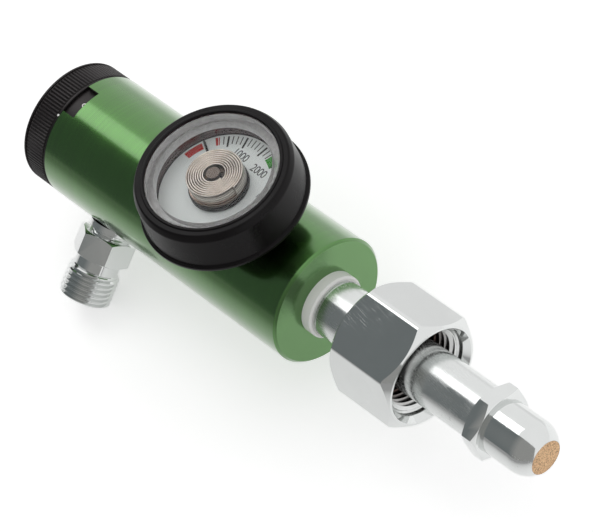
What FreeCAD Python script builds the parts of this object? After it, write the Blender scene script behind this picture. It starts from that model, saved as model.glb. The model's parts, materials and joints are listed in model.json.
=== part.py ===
import FreeCAD
import Part
import math
import os

from FreeCAD import Vector

# Oxygen regulator for a high-pressure cylinder, in millimetres.
# The main axis is X, towards the cylinder valve, and the pressure gauge looks along +Z.
# The origin is the centre of the rounded inlet nose, where the regulator seats in the valve.

# Running and seating clearances, all radial or face to face
fit_running = 0.06
fit_seated = 0.04
gap_faces = 0.05
gap_loose = 0.35

# Inlet nipple, turned from one bar with its hex and its round nose
nose_radius = 7.41
nose_length = 8.93
nipple_hex_flats = 17.46
nipple_hex_length = 4.42
nipple_hex_turn = 4.0
nipple_hex_chamfer = 0.8
stem_radius = 7.35
stem_length = 57.4
shank_radius = 7.8
shank_overlap = 4.5
stem_groove_gap = 0.8
stem_groove_width = 0.35
stem_groove_depth = 0.2
nipple_bore_radius = 2.5
nipple_thread_radius = 6.55
nipple_thread_length = 12.5
filter_radius = 4.66
filter_depth = 3.6

# White seal between the nipple and the body
washer_radius = 8.8
washer_thickness = 3.2
washer_edge = 0.5

# Union nut, free to slide on the stem between the nipple's hex and the white seal
nut_flats = 28.575
nut_length = 21.57
nut_turn = 48.4
nut_rest = 16.0
nut_back_wall = 5.5
nut_thread_radius = 10.5
nut_mouth_radius = 12.1
nut_mouth_depth = 2.9
nut_mouth_flare = 0.9
nut_corner_drop = 1.3
nut_face_inset = 0.35
nut_relief_length = 2.0
nut_relief_depth = 0.7

# Body, one bar of anodised aluminium, with places along it measured from its front face
body_radius = 17.75
body_length = 91.1
body_front_chamfer = 0.7
body_rear_chamfer = 0.25
inlet_passage_radius = 4.6
bore_wall = 3.55
bore_radius = body_radius - bore_wall
skirt_wall = 1.1
skirt_radius = body_radius - skirt_wall
skirt_depth = 8.1
bore_depth = body_length - skirt_depth
head_length = 16.8
head_front = bore_depth - head_length
piston_head_length = 6.35
piston_head_front = head_front - gap_loose - piston_head_length
spring_share = 0.17
partition_rear = piston_head_front - spring_share * body_length
partition_thickness = 6.1
partition_front = partition_rear - partition_thickness
window_width = 9.4
window_length = 4.5
vent_radius = 1.0
vent_turn = 160.0
vent_setback = 6.0
vent_place = partition_rear + vent_setback

# Pressure gauge and its rubber boot, with heights measured from the main axis
gauge_share = 0.3216
gauge_place = gauge_share * body_length
gauge_spot_radius = 7.6
gauge_spot_depth = 0.55
gauge_spot_height = body_radius - gauge_spot_depth
gauge_port_radius = 4.95
gauge_port_depth = 8.7
gauge_port_floor = gauge_spot_height - gauge_port_depth
gauge_feed_radius = 1.2
gauge_hex_flats = 12.7
gauge_hex_foot = 0.25
gauge_hex_chamfer = 0.6
boot_clearance = 3.75
boot_foot = body_radius + boot_clearance
boot_height = 12.5
boot_top = boot_foot + boot_height
boot_foot_radius = 22.17
boot_foot_bead = 1.1
boot_edge_round = 0.3
boot_wall_taper = 0.72
boot_wall_radius = boot_foot_radius - boot_wall_taper
boot_shoulder_radius = 20.75
boot_shoulder_drop = 3.1
boot_lip_radius = 20.08
boot_lip_drop = 1.4
boot_lip_swell = 0.25
boot_lip_bead = 0.45
boot_lip_groove = 0.15
boot_window_radius = 17.55
boot_window_flare = 0.4
boot_floor = 0.55
boot_hole_radius = 9.0
case_radius = 18.9
case_wall = 0.7
case_bore_radius = 16.35
case_floor = boot_foot + boot_floor + gap_faces + case_wall
case_hole_radius = 5.7
lens_top = boot_top - boot_lip_bead
lens_thickness = 1.1
lens_edge = 0.3
lens_rim_width = 0.95
lens_rim_drop = 2.6
dial_rise = 3.2
dial_height = case_floor + dial_rise
dial_thickness = 0.5
dial_radius = 16.1
dial_hole_radius = 4.5
drum_radius = 7.45
drum_height = 2.4
coil_rise = 6.1
coil_top = dial_height + coil_rise
coil_radius = 7.8
coil_inner_radius = 2.55
coil_turns = 11
coil_strip = 0.3
coil_groove = 0.16
coil_groove_pitch = 0.75
coil_groove_count = 4
post_radius = 1.75
pointer_rest_turn = 152.0
pointer_reach = 15.5
pointer_width = 0.9
pointer_tip_width = 0.5
pointer_thickness = 0.25
pointer_lift = 0.35
pointer_collar = 0.35
pointer_collar_height = 1.1

# Metering head and selector, from the outside in
head_flange_length = 2.0
head_flange_radius = skirt_radius - gap_loose
hub_gap = 0.75
hub_radius = skirt_radius - hub_gap
number_ring_wall = 0.42
number_ring_length = 5.6
stop_pin_radius = 0.55
stop_pin_inset = 0.8
stop_pin_ring = hub_radius - stop_pin_inset
stop_pin_turn = 75.0
stop_pin_reach = 1.25
stop_pin_depth = 1.6
stop_groove_depth = 1.6
stop_groove_wall = 0.7
stop_groove_radius = stop_pin_ring - stop_groove_wall
ball_radius = 1.2
ball_inset = 2.8
ball_ring = hub_radius - ball_inset
ball_count = 2
dimple_depth = 0.3
dimple_radius = 0.8
detent_spring_wire = 0.16
detent_spring_coils = 5
detent_pocket_depth = 5.4
face_ring_wire = 0.55
face_ring_inset = 2.0
face_ring_radius = ball_ring - face_ring_inset
disc_inset = 1.1
disc_radius = face_ring_radius - disc_inset
disc_inner_radius = 4.9
disc_thickness = 1.2
disc_ledge = 0.7
disc_chamber_depth = 0.9
settings = 12
setting_step = 30.0
smallest_orifice = 0.15
orifice_growth = 0.03
head_port_inset = 2.0
head_port_ring = disc_radius - head_port_inset
head_port_radius = 1.0
head_port_floor = 0.5
head_feed_ring = 3.95
head_feed_radius = 0.75
head_feed_turn = 30.0
port_seal_wire = 0.4
port_seal_radius = 1.3
drive_pin_radius = 0.8
drive_pin_ring = disc_inner_radius
drive_pin_count = 2
knob_step = 0.12
knob_radius = body_radius - knob_step
knob_length = 8.45
knob_body_gap = 0.3
knob_rib_count = 116
knob_rib_depth = 0.36
knob_rib_crest = 0.42
knob_rim_length = 0.9
knob_rim_drop = 0.35
knob_collar_length = 0.7
knob_dish_inset = 4.2
knob_dish_depth = 0.7
knob_well_radius = 6.4
knob_well_floor = 2.4
screw_shoulder_radius = 3.0
screw_thread_radius = 2.4
screw_thread_length = 9.0
screw_head_radius = 4.4
screw_head_length = 2.6
screw_socket_flats = 3.0
screw_socket_depth = 1.5
screw_washer_radius = 5.6
screw_washer_thickness = 0.8
pivot_ring_wire = 0.5

# Outlet fitting, a standard oxygen outlet of 9/16 inch, with heights measured from the main axis
outlet_setback = 16.97
outlet_place = body_length - outlet_setback
outlet_turn = 128.0
outlet_hex_flats = 14.2875
outlet_hex_rise = 2.45
outlet_hex_foot = body_radius + outlet_hex_rise
outlet_hex_length = 7.0
outlet_hex_turn = 35.9
outlet_hex_chamfer = 0.7
outlet_length = 19.0
outlet_end = outlet_hex_foot + outlet_length
outlet_end_chamfer = 0.6
outlet_thread_radius = 7.144
outlet_thread_length = 9.0
outlet_undercut_radius = 6.1
outlet_bore_radius = 3.2
outlet_bore_depth = 14.0
outlet_passage_radius = 2.0
outlet_collar_radius = 6.2
outlet_neck_length = 1.3
outlet_neck_radius = 5.3
outlet_screw_radius = 4.6
outlet_screw_foot = head_port_ring + gap_loose
outlet_seal_wire = 0.7
outlet_spot_radius = 6.9
outlet_spot_depth = 0.75
outlet_spot_height = body_radius - outlet_spot_depth

# Valve seat and its carrier
carrier_length = 5.0
carrier_rim = 0.7
carrier_rim_length = 1.4
seat_radius = 2.3
seat_thickness = 1.6
carrier_hole_radius = 0.7
carrier_hole_ring = 3.45
carrier_hole_count = 3

# Piston, its rings and the main spring
piston_stem_radius = 3.4
piston_bore_radius = 1.4
piston_lip = 0.3
piston_skirt_radius = 9.0
piston_skirt_depth = 2.0
piston_travel = 0.8
piston_tip_taper = 0.9
ring_wire = 0.78
stem_ring_wire = 0.8
spring_wire = 0.95
spring_inset = 3.6
spring_mean_radius = bore_radius - spring_inset
spring_coils = 4
spring_section_sides = 8

# Places along the axis, worked out from the sizes above
x_hex_front = -nose_length
x_hex_back = x_hex_front - nipple_hex_length
x_face = x_hex_back - stem_length
x_rear = x_face - body_length
x_nut = x_face + nut_rest
x_gauge = x_face - gauge_place
x_outlet = x_face - outlet_place
x_flange_rear = x_face - bore_depth - head_flange_length
x_hub_front = x_flange_rear - gap_loose
x_knob_front = x_rear - knob_body_gap
x_knob_rear = x_knob_front - knob_length
x_well_floor = x_knob_front - knob_well_floor
x_seat_rear = x_face - partition_front + carrier_rim_length + gap_faces
x_piston_tip = x_seat_rear - piston_travel - gap_faces

# How far a cutter runs past the face that it opens
overrun = 1.0

axis_x = Vector(1, 0, 0)
axis_y = Vector(0, 1, 0)
axis_z = Vector(0, 0, 1)
origin = Vector(0, 0, 0)


def rod(radius, x_low, x_high):
    return Part.makeCylinder(radius, x_high - x_low, Vector(x_low, 0, 0), axis_x)


def tube(outer, inner, x_low, x_high):
    return rod(outer, x_low, x_high).cut(rod(inner, x_low - overrun, x_high + overrun))


def post(radius, low, high):
    return Part.makeCylinder(radius, high - low, Vector(0, 0, low), axis_z)


def turned_x(profile):
    points = [Vector(x, radius, 0) for x, radius in profile]
    face = Part.Face(Part.makePolygon(points + [points[0]]))
    return face.revolve(origin, axis_x, 360)


def turned_z(profile):
    points = [Vector(radius, 0, height) for radius, height in profile]
    face = Part.Face(Part.makePolygon(points + [points[0]]))
    return face.revolve(origin, axis_z, 360)


def hex_prism(flats, low, high, turn):
    corner = flats / math.sqrt(3)
    angles = [math.radians(turn + 60 * index) for index in range(6)]
    points = [Vector(corner * math.cos(a), corner * math.sin(a), low) for a in angles]
    face = Part.Face(Part.makePolygon(points + [points[0]]))
    return face.extrude(axis_z * (high - low))


def crown(flats, low, high, drop, inset, ends=(True, True)):
    corner = flats / math.sqrt(3) + gap_faces
    face_radius = flats / 2 - inset
    profile = [(0, low), (corner, low), (corner, high), (0, high)]
    if ends[0]:
        profile[1:2] = [(face_radius, low), (corner, low + drop)]
    if ends[1]:
        profile[-2:-1] = [(corner, high - drop), (face_radius, high)]
    return turned_z(profile)


def lay_along_x(shape):
    turned = shape.copy()
    turned.rotate(origin, axis_y, 90)
    return turned


def ring_of_wire(mean_radius, wire, x_place):
    return Part.makeTorus(mean_radius, wire, Vector(x_place, 0, 0), axis_x)


def around_x(shape, count, start=0.0):
    copies = []
    for index in range(count):
        copy = shape.copy()
        copy.rotate(origin, axis_x, start + 360.0 * index / count)
        copies.append(copy)
    return copies


def stand_at_gauge(shape):
    placed = shape.copy()
    placed.translate(Vector(x_gauge, 0, 0))
    return placed


def stand_at_outlet(shape):
    placed = shape.copy()
    placed.rotate(origin, axis_x, outlet_turn)
    placed.translate(Vector(x_outlet, 0, 0))
    return placed


def spring(mean_radius, wire, length, coils):
    pitch = (length - 2 * wire) / coils
    helix = Part.makeHelix(pitch, pitch * coils, mean_radius)
    angles = [2 * math.pi * index / spring_section_sides for index in range(spring_section_sides)]
    points = [Vector(mean_radius + wire * math.cos(a), 0, wire * math.sin(a)) for a in angles]
    section = Part.makePolygon(points + [points[0]])
    coil = Part.Wire(helix.Edges).makePipeShell([section], True, True)
    coil.translate(Vector(0, 0, wire))
    return coil


# Inlet


def make_nipple():
    hex_bar = hex_prism(nipple_hex_flats, 0, nipple_hex_length, nipple_hex_turn)
    hex_bar = hex_bar.common(crown(nipple_hex_flats, 0, nipple_hex_length, nipple_hex_chamfer, 0))
    hex_bar = lay_along_x(hex_bar)
    hex_bar.translate(Vector(x_hex_back, 0, 0))
    x_shoulder = x_face + washer_thickness
    shape = rod(nipple_thread_radius, x_face - nipple_thread_length, x_shoulder)
    shape = shape.fuse([rod(shank_radius, x_shoulder, x_nut + shank_overlap), hex_bar])
    shape = shape.fuse(rod(stem_radius, x_shoulder, x_hex_back))
    shape = shape.fuse(rod(nose_radius, x_hex_front, 0))
    shape = shape.fuse(Part.makeSphere(nose_radius, origin, axis_x, 0, 90, 360))
    x_tip = math.sqrt(nose_radius ** 2 - filter_radius ** 2)
    shape = shape.cut(rod(nose_radius, x_tip, nose_radius + overrun))
    shape = shape.cut(rod(filter_radius, x_tip - filter_depth, x_tip + overrun))
    shape = shape.cut(rod(nipple_bore_radius, x_face - nipple_thread_length - overrun, x_tip))
    x_groove = x_shoulder + stem_groove_gap
    groove_floor = shank_radius - stem_groove_depth
    groove = tube(shank_radius + overrun, groove_floor, x_groove, x_groove + stem_groove_width)
    return shape.cut(groove).removeSplitter()


def make_filter():
    x_tip = math.sqrt(nose_radius ** 2 - filter_radius ** 2)
    return rod(filter_radius - fit_seated, x_tip - filter_depth, x_tip)


def make_washer():
    x_front = x_face + washer_thickness
    inner = nipple_thread_radius + fit_seated
    profile = [
        (x_face, inner),
        (x_face, washer_radius),
        (x_front - washer_edge, washer_radius),
        (x_front, washer_radius - washer_edge),
        (x_front, inner),
    ]
    return turned_x(profile)


def make_union_nut():
    shape = hex_prism(nut_flats, 0, nut_length, nut_turn)
    shape = shape.common(crown(nut_flats, 0, nut_length, nut_corner_drop, nut_face_inset))
    shape = lay_along_x(shape)
    mouth = nut_length - nut_mouth_depth
    flare = nut_mouth_depth / 2
    relief = nut_thread_radius + nut_relief_depth
    hollow = turned_x([
        (-overrun, 0),
        (-overrun, shank_radius + fit_running),
        (nut_back_wall, shank_radius + fit_running),
        (nut_back_wall, relief),
        (nut_back_wall + nut_relief_length, relief),
        (nut_back_wall + nut_relief_length, nut_thread_radius),
        (mouth, nut_thread_radius),
        (mouth + nut_mouth_flare, nut_mouth_radius),
        (nut_length - flare + nut_mouth_flare, nut_mouth_radius),
        (nut_length, nut_mouth_radius + nut_mouth_flare / 2),
        (nut_length + overrun, nut_mouth_radius + nut_mouth_flare / 2),
        (nut_length + overrun, 0),
    ])
    shape = shape.cut(hollow)
    shape.translate(Vector(x_nut, 0, 0))
    return shape


# Body and valve


def make_body():
    bar = turned_x([
        (x_face, 0),
        (x_face, body_radius - body_front_chamfer),
        (x_face - body_front_chamfer, body_radius),
        (x_rear + body_rear_chamfer, body_radius),
        (x_rear, body_radius - body_rear_chamfer),
        (x_rear, 0),
    ])
    ring_groove = piston_stem_radius + fit_running + 2 * stem_ring_wire
    x_ring = x_face - (partition_front + partition_rear) / 2
    x_bore_end = x_face - bore_depth
    hollow = turned_x([
        (x_face + overrun, 0),
        (x_face + overrun, nipple_thread_radius + fit_seated),
        (x_face - nipple_thread_length, nipple_thread_radius + fit_seated),
        (x_face - nipple_thread_length, inlet_passage_radius),
        (x_face - partition_front, inlet_passage_radius),
        (x_face - partition_front, piston_stem_radius + fit_running),
        (x_ring + stem_ring_wire, piston_stem_radius + fit_running),
        (x_ring + stem_ring_wire, ring_groove),
        (x_ring - stem_ring_wire, ring_groove),
        (x_ring - stem_ring_wire, piston_stem_radius + fit_running),
        (x_face - partition_rear, piston_stem_radius + fit_running),
        (x_face - partition_rear, bore_radius),
        (x_bore_end, bore_radius),
        (x_bore_end, skirt_radius),
        (x_rear - overrun, skirt_radius),
        (x_rear - overrun, 0),
    ])
    shape = bar.cut(hollow)
    gauge_port = post(gauge_port_radius, gauge_port_floor, body_radius + overrun)
    gauge_port = gauge_port.fuse(post(gauge_feed_radius, 0, gauge_port_floor))
    gauge_port = gauge_port.fuse(post(gauge_spot_radius, gauge_spot_height, body_radius + overrun))
    outlet_port = post(outlet_screw_radius + fit_seated, 0, body_radius + overrun)
    outlet_port = outlet_port.fuse(post(outlet_spot_radius, outlet_spot_height, body_radius + overrun))
    keep = rod(body_radius + overrun, x_rear, x_face)
    window_corner = Vector(x_rear - overrun, -window_width / 2, bore_radius)
    window = Part.makeBox(window_length + overrun, window_width, body_radius, window_corner)
    vent = post(vent_radius, bore_radius - overrun, body_radius + overrun)
    vent.rotate(origin, axis_x, -vent_turn)
    vent.translate(Vector(x_face - vent_place, 0, 0))
    cutters = [stand_at_gauge(gauge_port), stand_at_outlet(outlet_port), window, vent]
    return shape.cut(cutters).common(keep)


def make_seat_carrier():
    x_low = x_face - partition_front + gap_faces
    x_high = x_low + carrier_rim_length + seat_thickness + carrier_length
    radius = inlet_passage_radius - fit_seated
    shape = rod(radius, x_low, x_high)
    shape = shape.cut(rod(radius - carrier_rim, x_low - overrun, x_low + carrier_rim_length))
    shape = shape.cut(rod(seat_radius + fit_seated, x_low, x_seat_rear + seat_thickness))
    hole = rod(carrier_hole_radius, x_low, x_high + overrun)
    hole.translate(Vector(0, 0, carrier_hole_ring))
    return shape.cut(around_x(hole, carrier_hole_count, 180 / carrier_hole_count))


def make_seat():
    return rod(seat_radius, x_seat_rear, x_seat_rear + seat_thickness - gap_faces)


# Piston


def make_piston():
    x_head = x_face - piston_head_front
    radius = bore_radius - fit_running
    groove = radius - 2 * ring_wire
    x_ring = x_head - piston_head_length / 2
    profile = [
        (x_piston_tip, piston_bore_radius),
        (x_piston_tip, piston_bore_radius + piston_lip),
        (x_piston_tip - piston_tip_taper, piston_stem_radius),
        (x_head, piston_stem_radius),
        (x_head, radius),
        (x_ring + ring_wire, radius),
        (x_ring + ring_wire, groove),
        (x_ring - ring_wire, groove),
        (x_ring - ring_wire, radius),
        (x_head - piston_head_length, radius),
        (x_head - piston_head_length, piston_skirt_radius),
        (x_head - piston_head_length + piston_skirt_depth, piston_skirt_radius),
        (x_head - piston_head_length + piston_skirt_depth, piston_bore_radius),
    ]
    return turned_x(profile)


def make_piston_ring():
    x_ring = x_face - piston_head_front - piston_head_length / 2
    return ring_of_wire(bore_radius - fit_running - ring_wire, ring_wire - fit_seated / 2, x_ring)


def make_stem_ring():
    x_ring = x_face - (partition_front + partition_rear) / 2
    mean = piston_stem_radius + fit_running + stem_ring_wire
    return ring_of_wire(mean, stem_ring_wire - fit_seated / 2, x_ring)


def make_main_spring():
    length = piston_head_front - partition_rear - 2 * gap_faces
    shape = spring(spring_mean_radius, spring_wire, length, spring_coils)
    shape = lay_along_x(shape)
    shape.translate(Vector(x_face - piston_head_front + gap_faces, 0, 0))
    return shape


# Metering head and selector


def turned_port(radius, ring, turn, x_low, x_high):
    port = rod(radius, x_low, x_high)
    port.translate(Vector(0, 0, ring))
    port.rotate(origin, axis_x, turn)
    return port


def make_metering_head():
    x_front = x_face - head_front
    x_shoulder = x_face - bore_depth
    radius = bore_radius - fit_seated
    x_ring = x_front - 2 * ring_wire
    groove = bore_radius - fit_running - 2 * ring_wire
    shape = turned_x([
        (x_front, 0),
        (x_front, radius),
        (x_ring + ring_wire, radius),
        (x_ring + ring_wire, groove),
        (x_ring - ring_wire, groove),
        (x_ring - ring_wire, radius),
        (x_shoulder - gap_faces, radius),
        (x_shoulder - gap_faces, head_flange_radius),
        (x_flange_rear, head_flange_radius),
        (x_flange_rear, 0),
    ])
    hole_foot = head_port_ring - head_port_radius - head_port_floor
    outlet_hole = post(outlet_screw_radius + fit_seated, hole_foot, bore_radius + overrun)
    x_open = x_flange_rear - overrun
    seal_pocket = port_seal_radius + port_seal_wire + fit_seated
    ring_outer = face_ring_radius + face_ring_wire + fit_seated
    ring_inner = face_ring_radius - face_ring_wire - fit_seated
    pin_hole = stop_pin_radius + fit_seated
    dimple = Part.makeCone(dimple_radius, 0, dimple_depth, Vector(x_flange_rear, 0, ball_ring), axis_x)
    cutters = [
        stand_at_outlet(outlet_hole),
        turned_port(head_port_radius, head_port_ring, outlet_turn, x_open, x_outlet),
        turned_port(seal_pocket, head_port_ring, outlet_turn, x_open, x_flange_rear + 2 * port_seal_wire),
        turned_port(head_feed_radius, head_feed_ring, head_feed_turn, x_open, x_front + overrun),
        turned_port(pin_hole, stop_pin_ring, stop_pin_turn, x_open, x_flange_rear + stop_pin_depth),
        tube(ring_outer, ring_inner, x_open, x_flange_rear + 2 * face_ring_wire - gap_loose),
        rod(screw_thread_radius + fit_seated, x_open, x_flange_rear + screw_thread_length + overrun),
    ]
    return shape.cut(cutters + around_x(dimple, settings))


def make_head_ring():
    x_ring = x_face - head_front - 2 * ring_wire
    return ring_of_wire(bore_radius - fit_running - ring_wire, ring_wire - fit_seated / 2, x_ring)


def make_port_seal():
    seal = ring_of_wire(port_seal_radius, port_seal_wire - gap_faces / 2, x_flange_rear + port_seal_wire)
    seal.translate(Vector(0, 0, head_port_ring))
    seal.rotate(origin, axis_x, outlet_turn)
    return seal


def make_face_ring():
    x_middle = (x_hub_front + x_flange_rear + 2 * face_ring_wire - gap_loose) / 2
    return ring_of_wire(face_ring_radius, face_ring_wire - fit_seated / 2, x_middle)


def make_stop_pin():
    x_low = x_flange_rear - stop_pin_reach
    return turned_port(stop_pin_radius, stop_pin_ring, stop_pin_turn, x_low, x_flange_rear + stop_pin_depth)


def make_orifice_disc():
    x_front = x_flange_rear - gap_faces
    x_back = x_front - disc_thickness
    shape = tube(disc_radius, disc_inner_radius, x_back, x_front)
    notch = rod(drive_pin_radius + fit_seated, x_back - overrun, x_front + overrun)
    notch.translate(Vector(0, 0, drive_pin_ring))
    cutters = around_x(notch, drive_pin_count)
    for index in range(1, settings):
        radius = smallest_orifice + orifice_growth * index
        turn = outlet_turn - setting_step * index
        cutters.append(turned_port(radius, head_port_ring, turn, x_back - overrun, x_front + overrun))
    return shape.cut(cutters)


def ribbed_disc(x_low, x_high):
    root = knob_radius - knob_rib_depth
    pitch = 2 * math.pi / knob_rib_count
    crest_half = knob_rib_crest * pitch / 2
    points = []
    for index in range(knob_rib_count):
        middle = index * pitch
        for angle, radius in (
            (middle - crest_half, knob_radius),
            (middle + crest_half, knob_radius),
            (middle + pitch / 2, root),
        ):
            points.append(Vector(x_low, radius * math.sin(angle), radius * math.cos(angle)))
    face = Part.Face(Part.makePolygon(points + [points[0]]))
    return face.extrude(axis_x * (x_high - x_low))


def stop_groove():
    pin_half = math.degrees(math.asin((stop_pin_radius + gap_faces) / stop_pin_ring))
    sweep = setting_step * (settings - 1) + 2 * pin_half
    face = Part.Face(Part.makePolygon([
        Vector(x_hub_front - stop_groove_depth, 0, stop_groove_radius),
        Vector(x_hub_front + overrun, 0, stop_groove_radius),
        Vector(x_hub_front + overrun, 0, hub_radius + overrun),
        Vector(x_hub_front - stop_groove_depth, 0, hub_radius + overrun),
        Vector(x_hub_front - stop_groove_depth, 0, stop_groove_radius),
    ]))
    groove = face.revolve(origin, axis_x, sweep)
    groove.rotate(origin, axis_x, stop_pin_turn + pin_half - sweep)
    return groove


def make_knob():
    root = knob_radius - knob_rib_depth
    x_collar = x_knob_front - knob_collar_length
    x_rim = x_knob_rear + knob_rim_length
    grip = ribbed_disc(x_rim, x_collar)
    collar = rod(root, x_collar, x_knob_front)
    rim = turned_x([
        (x_rim, 0),
        (x_rim, knob_radius),
        (x_knob_rear + knob_rim_drop, knob_radius),
        (x_knob_rear, knob_radius - knob_rim_drop),
        (x_knob_rear, 0),
    ])
    hub = rod(hub_radius, x_knob_front, x_hub_front)
    shape = grip.fuse([collar, rim, hub])
    x_ledge = x_flange_rear - 2 * gap_faces - disc_thickness
    x_chamber = x_ledge - disc_chamber_depth
    x_ring = (x_well_floor + x_chamber) / 2
    groove = screw_shoulder_radius + fit_running + 2 * pivot_ring_wire
    ball_pocket = rod(ball_radius + fit_running, x_hub_front - detent_pocket_depth, x_hub_front + overrun)
    ball_pocket.translate(Vector(0, 0, ball_ring))
    cutters = [
        rod(disc_radius + fit_seated, x_ledge, x_hub_front + overrun),
        rod(disc_radius - disc_ledge, x_chamber, x_hub_front + overrun),
        rod(screw_shoulder_radius + fit_running, x_knob_rear - overrun, x_hub_front + overrun),
        rod(groove, x_ring - pivot_ring_wire, x_ring + pivot_ring_wire),
        rod(knob_radius - knob_dish_inset, x_knob_rear - overrun, x_knob_rear + knob_dish_depth),
        rod(knob_well_radius, x_knob_rear - overrun, x_well_floor),
        stop_groove(),
    ]
    shape = shape.cut(cutters + around_x(ball_pocket, ball_count))
    pin = rod(drive_pin_radius, x_chamber - gap_loose, x_flange_rear - 2 * gap_faces)
    pin.translate(Vector(0, 0, drive_pin_ring))
    return shape.fuse(around_x(pin, drive_pin_count))


def make_pivot_ring():
    x_chamber = x_flange_rear - 2 * gap_faces - disc_thickness - disc_chamber_depth
    mean = screw_shoulder_radius + fit_running + pivot_ring_wire
    return ring_of_wire(mean, pivot_ring_wire - fit_seated / 2, (x_well_floor + x_chamber) / 2)


def make_number_ring():
    x_high = x_knob_front + number_ring_length
    return tube(hub_radius + number_ring_wall, hub_radius + fit_seated, x_knob_front + gap_faces, x_high)


def make_pivot_screw():
    x_washer = x_well_floor - gap_faces - screw_washer_thickness
    x_seat = x_flange_rear - gap_faces
    shape = rod(screw_thread_radius, x_seat, x_flange_rear + screw_thread_length)
    shape = shape.fuse(rod(screw_shoulder_radius, x_washer - gap_faces, x_seat))
    head = rod(screw_head_radius, x_washer - gap_faces - screw_head_length, x_washer - gap_faces)
    socket = hex_prism(screw_socket_flats, -overrun, screw_socket_depth, 0)
    socket = lay_along_x(socket)
    socket.translate(Vector(x_washer - gap_faces - screw_head_length, 0, 0))
    return shape.fuse(head).cut(socket)


def make_screw_washer():
    x_high = x_well_floor - gap_faces
    hole = screw_shoulder_radius + fit_seated
    return tube(screw_washer_radius, hole, x_high - screw_washer_thickness, x_high)


def make_detent_balls():
    ball = Part.makeSphere(ball_radius, Vector(x_flange_rear - gap_faces - ball_radius, 0, ball_ring))
    return Part.makeCompound(around_x(ball, ball_count))


def make_detent_springs():
    x_low = x_hub_front - detent_pocket_depth + gap_faces
    x_high = x_flange_rear - gap_faces - 2 * ball_radius - gap_faces
    mean = ball_radius - 2 * detent_spring_wire
    coil = lay_along_x(spring(mean, detent_spring_wire, x_high - x_low, detent_spring_coils))
    coil.translate(Vector(x_low, 0, ball_ring))
    return Part.makeCompound(around_x(coil, ball_count))


# Pressure gauge


def make_gauge_stem():
    hex_foot = gauge_spot_height + gauge_hex_foot
    thread = post(gauge_port_radius - fit_seated, gauge_port_floor + gap_loose, hex_foot)
    hex_top = case_floor - case_wall - gap_faces
    hex_body = hex_prism(gauge_hex_flats, hex_foot, hex_top, 0)
    hex_crown = crown(gauge_hex_flats, hex_foot, hex_top, gauge_hex_chamfer, 0, (True, False))
    hex_body = hex_body.common(hex_crown)
    neck = post(case_hole_radius, hex_top, dial_height - dial_thickness - gap_faces)
    spigot = post(dial_hole_radius, hex_top, dial_height)
    spindle = post(post_radius, dial_height, coil_top)
    feed = post(gauge_feed_radius, 0, dial_height - overrun)
    return stand_at_gauge(thread.fuse([hex_body, neck, spigot, spindle]).cut(feed))


def make_gauge_case():
    outer_floor = case_floor - case_wall
    rim_foot = lens_top - lens_thickness - lens_rim_drop - gap_faces
    bore = boot_window_radius
    shape = turned_z([
        (case_hole_radius + fit_seated, outer_floor),
        (case_radius, outer_floor),
        (case_radius, lens_top),
        (bore, lens_top),
        (bore, rim_foot),
        (case_bore_radius, rim_foot),
        (case_bore_radius, case_floor),
        (case_hole_radius + fit_seated, case_floor),
    ])
    return stand_at_gauge(shape)


def make_gauge_boot():
    inner = case_radius + fit_seated
    floor_top = case_floor - case_wall - gap_faces
    lip_under = lens_top + gap_faces
    bead_top = boot_foot + boot_foot_bead
    shoulder = (boot_shoulder_radius + boot_lip_radius) / 2
    shape = turned_z([
        (boot_hole_radius, boot_foot),
        (boot_foot_radius - boot_edge_round, boot_foot),
        (boot_foot_radius, boot_foot + boot_edge_round),
        (boot_foot_radius, bead_top - boot_edge_round),
        (boot_wall_radius, bead_top),
        (boot_shoulder_radius, boot_top - boot_shoulder_drop),
        (shoulder + boot_lip_swell, boot_top - boot_lip_drop),
        (boot_lip_radius, boot_top - boot_lip_bead),
        (boot_lip_radius - boot_lip_groove, boot_top),
        (boot_lip_radius - boot_lip_bead, boot_top),
        (boot_lip_radius - boot_lip_bead, boot_top - boot_lip_groove),
        (boot_window_radius + boot_window_flare, boot_top - boot_lip_groove),
        (boot_window_radius, lip_under),
        (inner, lip_under),
        (inner, floor_top),
        (boot_hole_radius, floor_top),
    ])
    return stand_at_gauge(shape)


def make_gauge_lens():
    radius = boot_window_radius - fit_seated
    under = lens_top - lens_thickness
    foot = under - lens_rim_drop
    shape = turned_z([
        (0, under),
        (radius - lens_rim_width, under),
        (radius - lens_rim_width, foot),
        (radius, foot),
        (radius, lens_top - lens_edge),
        (radius - lens_edge, lens_top),
        (0, lens_top),
    ])
    return stand_at_gauge(shape)


def make_dial():
    plate = post(dial_radius, dial_height - dial_thickness, dial_height)
    return stand_at_gauge(plate.cut(post(dial_hole_radius + fit_seated, 0, dial_height + overrun)))


def make_coil_drum():
    low = dial_height + gap_faces
    shape = post(drum_radius, low, low + drum_height)
    return stand_at_gauge(shape.cut(post(post_radius + fit_seated, 0, coil_top + overrun)))


def spiral_edges(offset, height):
    growth = (coil_radius - coil_strip - coil_inner_radius) / (2 * coil_turns)
    edges = []
    side = 1
    centre = 0.0
    for index in range(2 * coil_turns):
        radius = coil_inner_radius + growth * index + offset
        start = Vector(centre + side * radius, 0, height)
        middle = Vector(centre, side * radius, height)
        end = Vector(centre - side * radius, 0, height)
        edges.append(Part.Arc(start, middle, end).toShape())
        centre += side * growth
        side = -side
    return edges


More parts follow.
